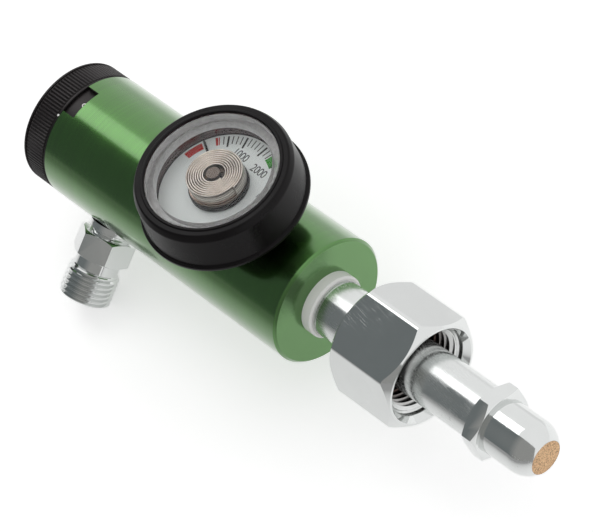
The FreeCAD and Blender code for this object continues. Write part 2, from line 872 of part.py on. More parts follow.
def make_bourdon_coil():
    low = dial_height + 2 * gap_faces + drum_height
    inner = spiral_edges(0, low)
    outer = spiral_edges(coil_strip, low)
    start = Part.makeLine(inner[0].Vertexes[0].Point, outer[0].Vertexes[0].Point)
    end = Part.makeLine(inner[-1].Vertexes[-1].Point, outer[-1].Vertexes[-1].Point)
    outline = Part.Wire(Part.__sortEdges__(inner + outer + [start, end]))
    shape = Part.Face(outline).extrude(axis_z * (coil_top - low))
    for index in range(coil_groove_count):
        height = coil_top - coil_groove_pitch * (index + 1)
        band = post(coil_radius + overrun, height, height + coil_groove)
        shape = shape.cut(band.cut(post(coil_radius - coil_groove, 0, height + overrun)))
    return stand_at_gauge(shape)


def make_pointer():
    low = dial_height + pointer_lift
    high = low + pointer_thickness
    inner = drum_radius + fit_running
    outer = inner + pointer_collar
    blade = Part.Face(Part.makePolygon([
        Vector(outer - pointer_collar / 2, -pointer_width / 2, low),
        Vector(pointer_reach, -pointer_tip_width / 2, low),
        Vector(pointer_reach, pointer_tip_width / 2, low),
        Vector(outer - pointer_collar / 2, pointer_width / 2, low),
        Vector(outer - pointer_collar / 2, -pointer_width / 2, low),
    ])).extrude(axis_z * (high - low))
    collar_top = low + pointer_collar_height
    collar = post(outer, low, collar_top).cut(post(inner, 0, collar_top + overrun))
    shape = collar.fuse(blade)
    shape.rotate(origin, axis_z, pointer_rest_turn)
    return stand_at_gauge(shape)


# Outlet


def make_outlet_fitting():
    hex_top = outlet_hex_foot + outlet_hex_length
    thread_foot = outlet_end - outlet_thread_length
    hex_body = hex_prism(outlet_hex_flats, outlet_hex_foot, hex_top, outlet_hex_turn)
    hex_body = hex_body.common(crown(outlet_hex_flats, outlet_hex_foot, hex_top, outlet_hex_chamfer, 0))
    bar = turned_z([
        (0, outlet_screw_foot),
        (outlet_screw_radius, outlet_screw_foot),
        (outlet_screw_radius, outlet_spot_height + 2 * outlet_seal_wire),
        (outlet_collar_radius, outlet_spot_height + 2 * outlet_seal_wire),
        (outlet_collar_radius, outlet_hex_foot - outlet_neck_length),
        (outlet_neck_radius, outlet_hex_foot - outlet_neck_length),
        (outlet_neck_radius, outlet_hex_foot),
        (outlet_undercut_radius, outlet_hex_foot),
        (outlet_undercut_radius, thread_foot),
        (outlet_thread_radius, thread_foot + outlet_thread_radius - outlet_undercut_radius),
        (outlet_thread_radius, outlet_end - outlet_end_chamfer),
        (outlet_thread_radius - outlet_end_chamfer, outlet_end),
        (0, outlet_end),
    ])
    bore = post(outlet_bore_radius, outlet_end - outlet_bore_depth, outlet_end + overrun)
    bore = bore.fuse(post(outlet_passage_radius, 0, outlet_end))
    return stand_at_outlet(bar.fuse(hex_body).cut(bore))


def make_outlet_seal():
    seal = Part.makeTorus(
        outlet_screw_radius + fit_seated + outlet_seal_wire,
        outlet_seal_wire - gap_faces,
        Vector(0, 0, outlet_spot_height + outlet_seal_wire),
        axis_z,
    )
    return stand_at_outlet(seal)


def pieces():
    return {
        "inlet_nipple": make_nipple(),
        "inlet_filter": make_filter(),
        "inlet_washer": make_washer(),
        "union_nut": make_union_nut(),
        "body": make_body(),
        "seat_carrier": make_seat_carrier(),
        "valve_seat": make_seat(),
        "piston": make_piston(),
        "piston_ring": make_piston_ring(),
        "stem_ring": make_stem_ring(),
        "main_spring": make_main_spring(),
        "metering_head": make_metering_head(),
        "head_ring": make_head_ring(),
        "port_seal": make_port_seal(),
        "face_ring": make_face_ring(),
        "stop_pin": make_stop_pin(),
        "orifice_disc": make_orifice_disc(),
        "knob": make_knob(),
        "number_ring": make_number_ring(),
        "pivot_screw": make_pivot_screw(),
        "pivot_ring": make_pivot_ring(),
        "screw_washer": make_screw_washer(),
        "detent_balls": make_detent_balls(),
        "detent_springs": make_detent_springs(),
        "gauge_stem": make_gauge_stem(),
        "gauge_case": make_gauge_case(),
        "gauge_boot": make_gauge_boot(),
        "gauge_lens": make_gauge_lens(),
        "dial": make_dial(),
        "coil_drum": make_coil_drum(),
        "bourdon_coil": make_bourdon_coil(),
        "pointer": make_pointer(),
        "outlet_fitting": make_outlet_fitting(),
        "outlet_seal": make_outlet_seal(),
    }


def main():
    os.makedirs("parts", exist_ok=True)
    for name, shape in pieces().items():
        print(name, shape.ShapeType, len(shape.Solids), shape.isValid(), round(shape.Volume, 1))
        shape.exportStep(os.path.join("parts", name + ".step"))


main()
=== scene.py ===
import json
import math

import bpy
from bpy.props import FloatProperty, FloatVectorProperty, IntProperty, PointerProperty
from mathutils import Matrix, Vector


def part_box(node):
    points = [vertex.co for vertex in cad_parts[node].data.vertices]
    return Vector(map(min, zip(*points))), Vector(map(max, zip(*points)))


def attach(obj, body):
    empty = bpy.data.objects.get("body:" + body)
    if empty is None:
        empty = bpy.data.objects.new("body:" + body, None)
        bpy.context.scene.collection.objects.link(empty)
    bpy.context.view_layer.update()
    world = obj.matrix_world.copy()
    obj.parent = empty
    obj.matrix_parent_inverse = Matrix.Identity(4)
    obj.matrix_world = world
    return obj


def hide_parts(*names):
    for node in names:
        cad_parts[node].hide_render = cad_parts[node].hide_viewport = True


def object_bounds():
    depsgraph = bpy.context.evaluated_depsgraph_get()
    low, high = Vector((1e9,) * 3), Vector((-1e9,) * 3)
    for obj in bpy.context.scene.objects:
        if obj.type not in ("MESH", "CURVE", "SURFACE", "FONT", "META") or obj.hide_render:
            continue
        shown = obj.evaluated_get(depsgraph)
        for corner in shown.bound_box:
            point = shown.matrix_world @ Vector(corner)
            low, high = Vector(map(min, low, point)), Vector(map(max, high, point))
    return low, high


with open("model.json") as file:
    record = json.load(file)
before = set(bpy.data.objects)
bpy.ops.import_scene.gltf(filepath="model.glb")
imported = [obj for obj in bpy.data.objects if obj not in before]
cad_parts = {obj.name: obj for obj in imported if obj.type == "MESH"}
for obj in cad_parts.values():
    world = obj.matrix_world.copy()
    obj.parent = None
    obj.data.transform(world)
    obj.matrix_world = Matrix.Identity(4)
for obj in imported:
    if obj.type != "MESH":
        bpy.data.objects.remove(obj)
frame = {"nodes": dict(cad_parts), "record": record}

bl_info = {
    "name": "Oxygen regulator",
    "version": (1, 0, 0),
    "blender": (4, 5, 0),
    "location": "3D View > Sidebar > Regulator",
    "description": "Models and finishes a cylinder regulator round its frame",
    "category": "Object",
}

MM = 0.001
MERGE = 0.001 * MM
SUNK = 0.05 * MM
OVERRUN = 0.5 * MM
FACTORY_CIRCLE_START = math.radians(90)     # where Blender's circles have their first vertex
TEXT_SIZE_PER_HEIGHT = 1.35                 # font size over the height of its numbers

# Steps of the knob's circle for each rib, then steps from a crest and how deep they lie in the valley
STEPS_PER_RIB = 6
RIB_VALLEY = ((1, 0.1), (2, 0.62), (3, 1.0))
FLOW_FIGURES = ("0", "1/8", "1/4", "1/2", "1", "2", "3", "4", "6", "8", "10", "15")

# The dial's fields: name, start and end in degrees, width inwards from the marks' outer ends
RED_FIELDS = (
    ("red_low", 155.0, 174.0, 2.05 * MM),
    ("red_mark", 138.6, 141.2, 2.4 * MM),
    ("red_line", 137.0, 137.9, 2.4 * MM),
)
GREEN_FIELD = ("green_full", 59.2, 72.7, 2.6 * MM)
# Its lone marks: degrees, inner and outer end inwards from the marks' outer ends, width
LONE_MARKS = ((151.6, 2.2 * MM, 0.0, 0.35 * MM), (60.4, 2.4 * MM, 1.5 * MM, 0.4 * MM))
# Its even marks, counted from the first long one
FIRST_MARK = -5
LAST_MARK = 7
# Its figures: label, degrees, radius, share of the full height
DIAL_FIGURES = (
    ("1000", 105.0, 10.2 * MM, 1.0),
    ("2000", 61.6, 10.3 * MM, 1.0),
    ("psi", 21.0, 11.5 * MM, 0.55),
)

CAD_BOX = [list(corner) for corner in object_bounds()]
MOUNTS = {mount["name"]: mount for mount in frame["record"]["mounts"]}


def low(node):
    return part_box(node)[0]


def high(node):
    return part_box(node)[1]


GAUGE_X = (low("dial").x + high("dial").x) / 2
OUTLET_X = MOUNTS["outlet_thread"]["pos_m"][0]
OUTLET_AXIS = Vector(MOUNTS["outlet_thread"]["axis"])
OUTLET_TURN = math.atan2(-OUTLET_AXIS.y, OUTLET_AXIS.z)

ALONG_X = Matrix.Rotation(math.radians(90), 4, "Y")
AT_GAUGE = Matrix.Translation((GAUGE_X, 0, 0))
AT_OUTLET = Matrix.Translation((OUTLET_X, 0, 0)) @ Matrix.Rotation(OUTLET_TURN, 4, "X")


# Properties


def linear(code):
    """A hex colour as it is seen, turned to the linear values that a material works in."""
    channels = [int(code[place:place + 2], 16) / 255 for place in (1, 3, 5)]
    return [c / 12.92 if c <= 0.04045 else ((c + 0.055) / 1.055) ** 2.4 for c in channels]


def length(name, description, millimetres):
    default = millimetres * MM
    return FloatProperty(name=name, description=description, default=default, unit="LENGTH", precision=5)


def angle(name, description, degrees):
    return FloatProperty(name=name, description=description, default=math.radians(degrees), subtype="ANGLE")


def count(name, description, number):
    return IntProperty(name=name, description=description, default=number, min=1)


def amount(name, description, number):
    return FloatProperty(name=name, description=description, default=number, min=0.0)


def position(name, description, *metres):
    return FloatVectorProperty(
        name=name, description=description, default=metres, subtype="TRANSLATION", precision=5
    )


def colour(name, description, code):
    return FloatVectorProperty(
        name=name, description=description, default=linear(code), subtype="COLOR", size=3, min=0.0, max=1.0
    )


class InletSizes(bpy.types.PropertyGroup):
    nose_radius: length("Nose radius", "Radius of the round nose that seats in the valve", 7.41)
    nose_length: length("Nose length", "Straight part of the nose behind its round end", 8.93)
    hex_flats: length("Hexagon", "Width across the nipple's flats", 17.46)
    hex_length: length("Hexagon length", "Length of the nipple's flats", 4.42)
    hex_turn: angle("Hexagon turn", "How the nipple's hexagon is turned", 4.0)
    hex_chamfer: length("Hexagon chamfer", "How far the hexagon's corners are turned off", 0.8)
    stem_radius: length("Stem radius", "Radius of the bright stem", 7.35)
    shank_radius: length("Shank radius", "Radius of the thicker end in the nut", 7.8)
    shank_end: length("Shank end", "Where the thicker end stops, along the main axis", -50.25)
    groove_place: length("Groove place", "Where the fine groove lies, along the main axis", -66.75)
    groove_width: length("Groove width", "Width of the fine groove", 0.35)
    groove_depth: length("Groove depth", "Depth of the fine groove", 0.2)
    bore_radius: length("Bore", "Radius of the gas passage", 2.5)
    thread_radius: length("Hidden thread", "Radius of the end that screws into the barrel", 6.55)
    edge: length("Edge", "Rounding of the polished edges", 0.22)


class NutSizes(bpy.types.PropertyGroup):
    flats: length("Flats", "Width across the nut's flats", 28.575)
    turn: angle("Turn", "How the nut is turned about the main axis", 48.4)
    corner_drop: length("Corner drop", "How far the corners are turned off at each end", 2.3)
    corner_round: length("Corner rounding", "How far the long edges are polished round", 1.1)
    face_inset: length("Face inset", "How far the end faces lie inside the flats", 0.35)
    back_wall: length("Back wall", "Thickness of the wall that pulls on the nipple", 5.5)
    bore_radius: length("Bore", "Radius of the hole that runs on the stem", 7.86)
    root_radius: length("Thread root", "Radius at the bottom of the inside thread", 11.45)
    crest_radius: length("Thread crest", "Radius at the top of the inside thread", 10.5)
    pitch: length("Thread pitch", "Distance from one turn of the thread to the next", 25.4 / 14)
    mouth_radius: length("Mouth", "Radius of the plain mouth in front of the thread", 12.1)
    mouth_depth: length("Mouth depth", "Depth of the plain mouth", 3.6)
    mouth_flare: length("Mouth flare", "How far the mouth opens out", 1.3)
    flare_depth: length("Flare depth", "Depth of the mouth's flare", 1.9)
    mouth_round: length("Mouth rounding", "Rounding where the flare meets the plain mouth", 1.0)


class OutletSizes(bpy.types.PropertyGroup):
    flats: length("Flats", "Width across the outlet's flats", 14.2875)
    hex_turn: angle("Hexagon turn", "How the outlet's hexagon is turned", 35.9)
    hex_foot: length("Hexagon foot", "Distance from the main axis to the hexagon", 20.2)
    hex_length: length("Hexagon length", "Length of the flats", 7.0)
    hex_chamfer: length("Hexagon chamfer", "How far the corners are turned off", 0.7)
    screw_radius: length("Hidden thread", "Radius of the end that screws into the barrel", 5.0)
    screw_foot: length("Hidden thread foot", "Distance from the main axis to the hidden end", 9.0)
    collar_foot: length("Collar foot", "Distance from the main axis to the collar", 17.2)
    collar_radius: length("Collar", "Radius of the collar next to the barrel", 6.2)
    neck_radius: length("Neck", "Radius of the neck between collar and hexagon", 5.3)
    neck_length: length("Neck length", "Length of the neck", 1.3)
    undercut_radius: length("Undercut", "Radius of the plain part behind the thread", 6.1)
    thread_radius: length("Thread", "Radius over the crests of the outlet's thread", 7.144)
    thread_length: length("Thread length", "Length of the threaded end", 9.0)
    pitch: length("Thread pitch", "Distance from one turn of the thread to the next", 25.4 / 18)
    end: length("End", "Distance from the main axis to the outlet's end", 39.2)
    end_chamfer: length("End chamfer", "Chamfer at the outlet's end", 0.6)
    bore_radius: length("Bore", "Radius of the outlet's bore", 3.2)
    bore_depth: length("Bore depth", "Depth of the outlet's bore", 14.0)
    passage_radius: length("Passage", "Radius of the gas passage behind the bore", 2.0)
    edge: length("Edge", "Rounding of the polished edges", 0.2)


class KnobSizes(bpy.types.PropertyGroup):
    ribs: count("Ribs", "How many ribs the grip has", 116)
    rib_depth: length("Rib depth", "Depth of the valleys between the ribs", 0.36)
    collar_length: length("Collar", "Plain band next to the barrel", 0.7)
    bead_length: length("Bead", "Length of the rounded rib ends at the rim", 0.55)
    groove_width: length("Groove", "Groove between the rib ends and the rim", 0.3)
    rim_length: length("Rim", "Length of the plain rim", 0.75)
    rim_drop: length("Rim drop", "How far the rim is rounded off", 0.35)
    dish_radius: length("Dish", "Radius of the shallow dish in the end", 13.43)
    dish_depth: length("Dish depth", "Depth of the shallow dish", 0.7)
    well_radius: length("Well", "Radius of the well round the pivot screw", 6.4)
    well_floor: length("Well floor", "Where the well ends, along the main axis", -164.55)
    hub_radius: length("Hub", "Radius of the hub inside the barrel", 15.9)
    hub_end: length("Hub end", "Where the hub ends, along the main axis", -156.10)
    chamber_radius: length("Chamber", "Radius of the pocket for the orifice disc", 10.04)
    chamber_end: length("Chamber end", "Where the pocket starts, along the main axis", -157.9)
    shaft_radius: length("Shaft", "Radius of the hole for the pivot screw", 3.06)
    dot_radius: length("Dot", "Radius of the white index dot", 0.33)
    dot_turn: angle("Dot turn", "Where the dot lies, from the gauge's side towards the outlet", 21.0)
    figure_height: length("Figures", "Height of the flow figures", 2.5)


class GaugeSizes(bpy.types.PropertyGroup):
    hole_radius: length("Boot hole", "Radius of the hole in the boot's floor", 9.0)
    foot_bead: length("Foot bead", "Height of the bead round the boot's foot", 1.1)
    wall_radius: length("Wall", "Radius of the boot's wall over the bead", 21.45)
    shoulder_radius: length("Shoulder", "Radius where the boot starts to round in", 20.85)
    shoulder_drop: length("Shoulder drop", "How far the shoulder lies under the top", 2.0)
    lip_radius: length("Lip", "Radius of the boot's flat top", 20.0)
    window_radius: length("Window", "Radius of the boot's opening", 17.55)
    bead: length("Window bead", "Height of the thin bead round the opening", 0.3)
    under_lip: length("Under the lip", "Where the boot grips over the case, from the main axis", 33.6)
    boot_floor: length("Boot floor", "Thickness of the boot's floor", 0.55)
    case_radius: length("Case", "Radius of the steel case", 18.94)
    lens_thickness: length("Lens thickness", "Thickness of the clear window", 1.1)
    lens_rim: length("Lens rim", "Width of the thick rim of the window", 2.15)


class DialSizes(bpy.types.PropertyGroup):
    print_rise: length("Print", "Thickness of the printed marks", 0.03)
    tick_outer: length("Tick end", "Outer radius of the marks", 15.55)
    tick_short: length("Short tick", "Length of a short mark", 2.4)
    tick_long: length("Long tick", "Length of a long mark", 3.3)
    tick_width: length("Tick width", "Width of a short mark", 0.24)
    tick_bold: amount("Bold", "How many times wider a long mark is", 2.1)
    step: angle("Step", "Turn from one mark to the next", 4.83)
    full_turn: angle("First long mark", "Where the first long mark stands", 108.6)
    figure_height: length("Figures", "Height of the dial's numbers", 2.45)
    coil_radius: length("Coil", "Outer radius of the coiled tube", 7.8)
    coil_inner: length("Coil inside", "Inner radius of the coiled tube", 2.55)
    coil_turns: count("Coil turns", "How many turns the tube has", 8)
    coil_width: length("Tube", "Width of the flattened tube", 0.4)


class StudioSizes(bpy.types.PropertyGroup):
    floor_size: length("Floor", "Width of the pale floor", 6000.0)
    floor_paper: amount("Floor paper", "Share of the light that the floor's paper gives back", 0.86)
    floor_glow: amount("Floor glow", "White added where the floor is seen", 0.42)
    fill: amount("Fill", "Strength of the even light all round", 0.75)
    key_power: amount("Key lamp", "Power of the softbox overhead", 1.1)
    lamp_place: position("Lamp place", "Middle of the softbox", -0.70, 0.115, 0.80)
    lamp_length: length("Lamp length", "Size of the softbox along the barrel", 700.0)
    lamp_width: length("Lamp width", "Size of the softbox across the barrel", 470.0)
    card_dark: colour("Card", "Dark end of the card", "#737879")
    card_pale: colour("Card's pale end", "Pale end of the card", "#9c9c9a")
    card_length: length("Card length", "Length of the card along the barrel", 3000.0)
    card_top: position("Card's top", "Middle of the card's upper edge", -0.3, -0.12, 0.81)
    card_foot: position("Card's foot", "Middle of the card's lower edge", -0.3, -0.82, -0.02)
    camera_place: position("Camera", "Where the camera stands", 0.3893, -0.1989, 0.6493)
    camera_turn: FloatVectorProperty(
        name="Camera turn",
        description="How the camera is turned",
        default=[math.radians(degrees) for degrees in (35.5057, 15.8797, 45.9859)],
        subtype="EULER",
    )
    camera_lens: amount("Lens", "Focal length of the camera in millimetres", 199.55)


class Colours(bpy.types.PropertyGroup):
    barrel: colour("Barrel", "Dyed aluminium of the barrel", "#417928")
    chrome: colour("Chrome", "Plated brass of nut, nipple and outlet", "#dfe1e0")
    knob: colour("Knob", "Dyed aluminium of the knob", "#241f20")
    rubber: colour("Boot", "Rubber of the gauge's boot", "#0c0a0b")
    dial: colour("Dial", "Paint of the dial", "#dde2e0")
    ink: colour("Ink", "Dark print", "#0e0f10")
    red: colour("Red", "Red print", "#b4201a")
    green: colour("Green", "Green print", "#2f8f24")
    coil: colour("Coil", "Metal of the coiled tube", "#ded5cc")
    # Painted shade and a painted reflection: the steel is tinted darker and reddish, as the wall under the
    # lens rim looks where it mirrors the dial's red print.
    case: colour("Case", "Metal of the gauge's case", "#78686a")
    drum: colour("Drum", "Metal of the drum under the coil", "#8c7c72")
    post: colour("Post", "Plated post in the coil's middle", "#5f5650")
    # Painted shade: the dark brown of the plate deep in the nut, where little light reaches.
    deep_shade: colour("Painted_shade_in_nut", "Dulled plate deep in the nut", "#4d403c")
    bronze: colour("Filter", "Sintered grains of the filter", "#e6b488")
    nylon: colour("Seal", "White seal and print", "#f2f2ef")
    brass: colour("Brass", "Brass of the inner pieces", "#c39a4e")
    steel: colour("Steel", "Springs, balls and screws", "#b9b7b2")


# Modelling


def only(piece):
    """One piece is selected and active, so that the next operator acts on it alone."""
    bpy.ops.object.select_all(action="DESELECT")
    piece.select_set(True)
    bpy.context.view_layer.objects.active = piece
    return piece


def added(name):
    """The primitive just added gets its name, and its place goes into its mesh."""
    piece = bpy.context.active_object
    piece.name = name
    piece.data.name = name
    bpy.ops.object.transform_apply(location=True, rotation=True, scale=True)
    return piece


def placed(piece, place):
    only(piece)
    piece.matrix_world = place @ piece.matrix_world
    bpy.ops.object.transform_apply(location=True, rotation=True, scale=True)
    return piece


def smooth(piece, degrees=32):
    only(piece)
    bpy.ops.object.shade_smooth_by_angle(angle=math.radians(degrees))
    return piece


def pick(kind, test):
    """In edit mode, selects the vertices or faces whose middle passes a test."""
    mesh = bpy.context.active_object.data
    bpy.ops.mesh.select_mode(type=kind)
    bpy.ops.mesh.select_all(action="DESELECT")
    bpy.ops.object.mode_set(mode="OBJECT")
    for item in mesh.vertices if kind == "VERT" else mesh.polygons:
        item.select = test(item.co if kind == "VERT" else item.center)
    bpy.ops.object.mode_set(mode="EDIT")


def merged(piece, fill=False):
    """Closes the seams of a piece, and its open ends where asked, and turns its faces outwards."""
    only(piece)
    bpy.ops.object.mode_set(mode="EDIT")
    bpy.ops.mesh.select_all(action="SELECT")
    bpy.ops.mesh.remove_doubles(threshold=MERGE)
    if fill:
        bpy.ops.mesh.select_all(action="SELECT")
        bpy.ops.mesh.fill_holes(sides=0)
    bpy.ops.mesh.select_all(action="SELECT")
    bpy.ops.mesh.normals_make_consistent(inside=False)
    bpy.ops.object.mode_set(mode="OBJECT")
    return piece


def rounded(corners, steps=4):
    """The outline of (radius, height, rounding) corners, each rounded off by a short arc."""
    outline = []
    for index, (radius, height, rounding) in enumerate(corners):
        here = Vector((radius, height))
        if rounding == 0:
            outline.append((radius, height))
            continue
        back = (Vector(corners[index - 1][:2]) - here).normalized()
        ahead = (Vector(corners[(index + 1) % len(corners)][:2]) - here).normalized()
        half = back.angle(ahead) / 2
        centre = here + (back + ahead).normalized() * rounding / math.sin(half)
        first = here + back * rounding / math.tan(half) - centre
        last = here + ahead * rounding / math.tan(half) - centre
        start = math.atan2(first.y, first.x)
        sweep = (math.atan2(last.y, last.x) - start + math.pi) % math.tau - math.pi
        for step in range(steps + 1):
            turn = start + sweep * step / steps
            outline.append((centre.x + rounding * math.cos(turn), centre.y + rounding * math.sin(turn)))
    return outline


def turned(name, outline, steps=128, solid=False):
    """A piece turned about +Z: a circle is extruded and scaled from point to point of its outline.

    A solid outline starts and ends in a flat face, and any other closes on its first point.
    """
    radius, height = outline[0]
    bpy.ops.object.select_all(action="DESELECT")
    bpy.ops.mesh.primitive_circle_add(
        vertices=steps, radius=radius, location=(0, 0, height), fill_type="NGON" if solid else "NOTHING"
    )
    piece = added(name)
    bpy.ops.object.mode_set(mode="EDIT")
    bpy.ops.mesh.select_mode(type="FACE" if solid else "EDGE")
    bpy.ops.mesh.select_all(action="SELECT")
    for next_radius, next_height in outline[1:] + ([] if solid else outline[:1]):
        bpy.ops.mesh.extrude_region_move(TRANSFORM_OT_translate={"value": (0, 0, next_height - height)})
        scale = next_radius / radius
        bpy.ops.transform.resize(value=(scale, scale, 1), center_override=(0, 0, next_height))
        radius, height = next_radius, next_height
    bpy.ops.object.mode_set(mode="OBJECT")
    return merged(piece)


def modified(piece, kind, **settings):
    """A piece takes on what a modifier with these settings makes of it."""
    only(piece)
    bpy.ops.object.modifier_add(type=kind)
    change = piece.modifiers[-1]
    for name, value in settings.items():
        setattr(change, name, value)
    bpy.ops.object.modifier_apply(modifier=change.name)
    return piece


def combined(piece, tool, operation):
    """A piece is cut by or crossed with another solid, which is used up."""
    modified(piece, "BOOLEAN", operation=operation, object=tool, solver="EXACT")
    bpy.data.objects.remove(tool)
    return piece


def joined(pieces):
    """Several pieces become one, which keeps the name of the first."""
    only(pieces[0])
    for other in pieces[1:]:
        other.select_set(True)
    bpy.ops.object.join()
    return pieces[0]


def edges_rounded(piece, width, segments=3):
    sharp = {"limit_method": "ANGLE", "angle_limit": math.radians(22), "miter_outer": "MITER_ARC"}
    return modified(piece, "BEVEL", width=width, segments=segments, **sharp)


def hexagon(name, flats, foot, top, chamfer, inset=0.0, corner_round=0.0):
    """A hexagonal bar whose corners are turned off at both ends. Its first corner points along +Y."""
    corner = flats / math.sqrt(3)
    spare = 2 * corner_round
    bpy.ops.object.select_all(action="DESELECT")
    bpy.ops.mesh.primitive_cylinder_add(
        vertices=6, radius=corner, depth=top - foot + 2 * spare, location=(0, 0, (foot + top) / 2)
    )
    bar = added(name)
    if corner_round > 0:
        edges_rounded(bar, corner_round, segments=6)
    face = flats / 2 - inset
    outline = [(face, foot), (corner + SUNK, foot + chamfer), (corner + SUNK, top - chamfer), (face, top)]
    return combined(bar, turned("crown", outline, 96, solid=True), "INTERSECT")


def hexagon_ring(name, sizes, flats, foot, top, hole):
    """The hexagon of a turned piece, hollow where the piece's own bar runs through it."""
    ring = hexagon(name, flats, foot, top, sizes.hex_chamfer)
    bar = [(hole, foot - OVERRUN), (hole, top + OVERRUN)]
    combined(ring, turned("hole", bar, 96, solid=True), "DIFFERENCE")
    placed(ring, Matrix.Rotation(sizes.hex_turn - FACTORY_CIRCLE_START, 4, "Z"))
    return edges_rounded(ring, sizes.edge)


def thread(root, crest, pitch, foot, top, envelope):
    """A helical ridge of 60 degree section between two heights, trimmed to the shape of an envelope."""
    bpy.ops.object.select_all(action="DESELECT")
    outward = 1 if crest > root else -1
    side = abs(crest - root) / math.cos(math.radians(30)) + pitch / 8
    bpy.ops.mesh.primitive_circle_add(
        vertices=3,
        radius=side / math.sqrt(3),
        location=(root + outward * side / math.sqrt(3) / 2, 0, foot - pitch),
        rotation=(math.radians(90), math.radians(90 * outward), 0),
    )
    turns = math.ceil((top - foot) / pitch) + 2
    ridge = modified(
        added("ridge"), "SCREW", axis="Z", screw_offset=pitch, iterations=turns, steps=48, render_steps=48
    )
    return combined(merged(ridge, fill=True), envelope, "INTERSECT")


def lettered(name, label, height, thickness, spacing=1.0):
    """A plain number as a thin closed mesh, centred and lying flat."""
    bpy.ops.object.select_all(action="DESELECT")
    bpy.ops.object.text_add()
    text = bpy.context.active_object
    text.data.body = label
    text.data.align_x = "CENTER"
    text.data.align_y = "CENTER"
    text.data.size = height * TEXT_SIZE_PER_HEIGHT
    text.data.space_character = spacing
    text.data.extrude = thickness
    bpy.ops.object.convert(target="MESH")
    return merged(added(name))


def finished(piece, body, slot, material, *nodes):
    """A piece gets its material, rides on its body and stands for the nodes it replaces."""
    piece.data.materials.clear()
    piece.data.materials.append(material)
    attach(piece, body)
    if nodes:
        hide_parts(*nodes)
    return piece


def refinished(piece, material, test):
    """Gives the faces whose middle passes a test a finish of their own."""
    only(piece)
    piece.data.materials.append(material)
    piece.active_material_index = len(piece.data.materials) - 1
    bpy.ops.object.mode_set(mode="EDIT")
    pick("FACE", test)
    bpy.ops.object.material_slot_assign()
    bpy.ops.object.mode_set(mode="OBJECT")


# Materials


def add(tree, kind, values=None, links=None, **settings):
    """Adds a node, with its settings, the values of its sockets and the links that feed it.

    A link from a node, and not from one of its sockets, comes from its first output.
    """
    made = tree.nodes.new(kind)
    for name, value in settings.items():
        setattr(made, name, value)
    for name, value in (values or {}).items():
        made.inputs[name].default_value = value
    for name, source in (links or {}).items():
        tree.links.new(source.outputs[0] if hasattr(source, "outputs") else source, made.inputs[name])
    return made


def started(name):
    """A material with an empty tree, which its finish fills, and the place of each point on the piece."""
    material = bpy.data.materials.new(name)
    material.use_nodes = True
    tree = material.node_tree
    tree.nodes.clear()
    return material, tree, add(tree, "ShaderNodeTexCoord").outputs["Object"]


def rgba(tint, factor=1.0):
    """A tint made lighter or darker, as a colour socket takes it."""
    return (*(min(1.0, channel * factor) for channel in tint), 1.0)


def wave_scale(pitch):
    """The Wave texture's scale at which its bands lie one pitch apart."""
    return math.tau / 20 / pitch


def surfaced(material, tint, shades, share, relief, heights, values, links=None):
    """Ends a finish: a tint between two shades, a relief of some depth and strength, and the shader."""
    tree = material.node_tree
    tints = {6: rgba(tint, shades[0]), 7: rgba(tint, shades[1])}
    tone = add(tree, "ShaderNodeMix", tints, {0: share}, data_type="RGBA").outputs[2]
    depth = {"Distance": relief[0], "Strength": relief[1]}
    normal = add(tree, "ShaderNodeBump", depth, heights)
    fed = {"Base Color": tone, "Normal": normal, **(links or {})}
    shader = add(tree, "ShaderNodeBsdfPrincipled", values, fed)
    add(tree, "ShaderNodeOutputMaterial", links={"Surface": shader})
    return material


def anodised_barrel(colours):
    """Aluminium turned on a lathe, then anodised green.

    The eye sees dyed metal that mirrors softly under a clear hard skin, which turns it white at
    glancing angles, and the rings that the tool left. Its feed is about 0.15 mm, and the rings are
    drawn 0.5 mm apart so that they show.
    """
    material, tree, place = started("green_anodised_turned_aluminium")
    across = add(tree, "ShaderNodeMapping", {"Scale": (1.0, 0.015, 0.015)}, {"Vector": place})
    feed = add(tree, "ShaderNodeTexNoise", {"Scale": 1 / (0.5 * MM), "Detail": 4.0}, {"Vector": across})
    batch = add(tree, "ShaderNodeTexNoise", {"Scale": 1 / (6 * MM), "Detail": 2.0}, {"Vector": across})
    cloud = add(tree, "ShaderNodeTexNoise", {"Scale": 1 / (9 * MM), "Detail": 2.0}, {"Vector": place})
    rows = {"Scale": wave_scale(0.5 * MM), "Distortion": 1.2, "Detail": 1.0, "Detail Scale": 0.6}
    ring = add(tree, "ShaderNodeTexWave", rows, {"Vector": across}, bands_direction="X").outputs["Fac"]
    cut = add(tree, "ShaderNodeMath", {1: 0.5}, {0: ring, 2: feed}, operation="MULTIPLY_ADD")
    share = add(tree, "ShaderNodeMapRange", {"From Min": 0.3, "From Max": 1.1}, {"Value": cut})
    limits = {"From Min": 0.3, "From Max": 0.7, "To Min": 0.2, "To Max": 0.27}
    rough = add(tree, "ShaderNodeMapRange", limits, {"Value": cloud})
    waves = add(tree, "ShaderNodeBump", {"Distance": 0.03 * MM, "Strength": 0.5}, {"Height": batch})
    heights = {"Height": cut, "Normal": waves}
    skin = {"Metallic": 1.0, "Coat Weight": 1.0, "Coat IOR": 1.72, "Coat Roughness": 0.16}
    shades = (0.78, 1.14)
    return surfaced(
        material, colours.barrel, shades, share, (0.009 * MM, 0.8), heights, skin, {"Roughness": rough}
    )


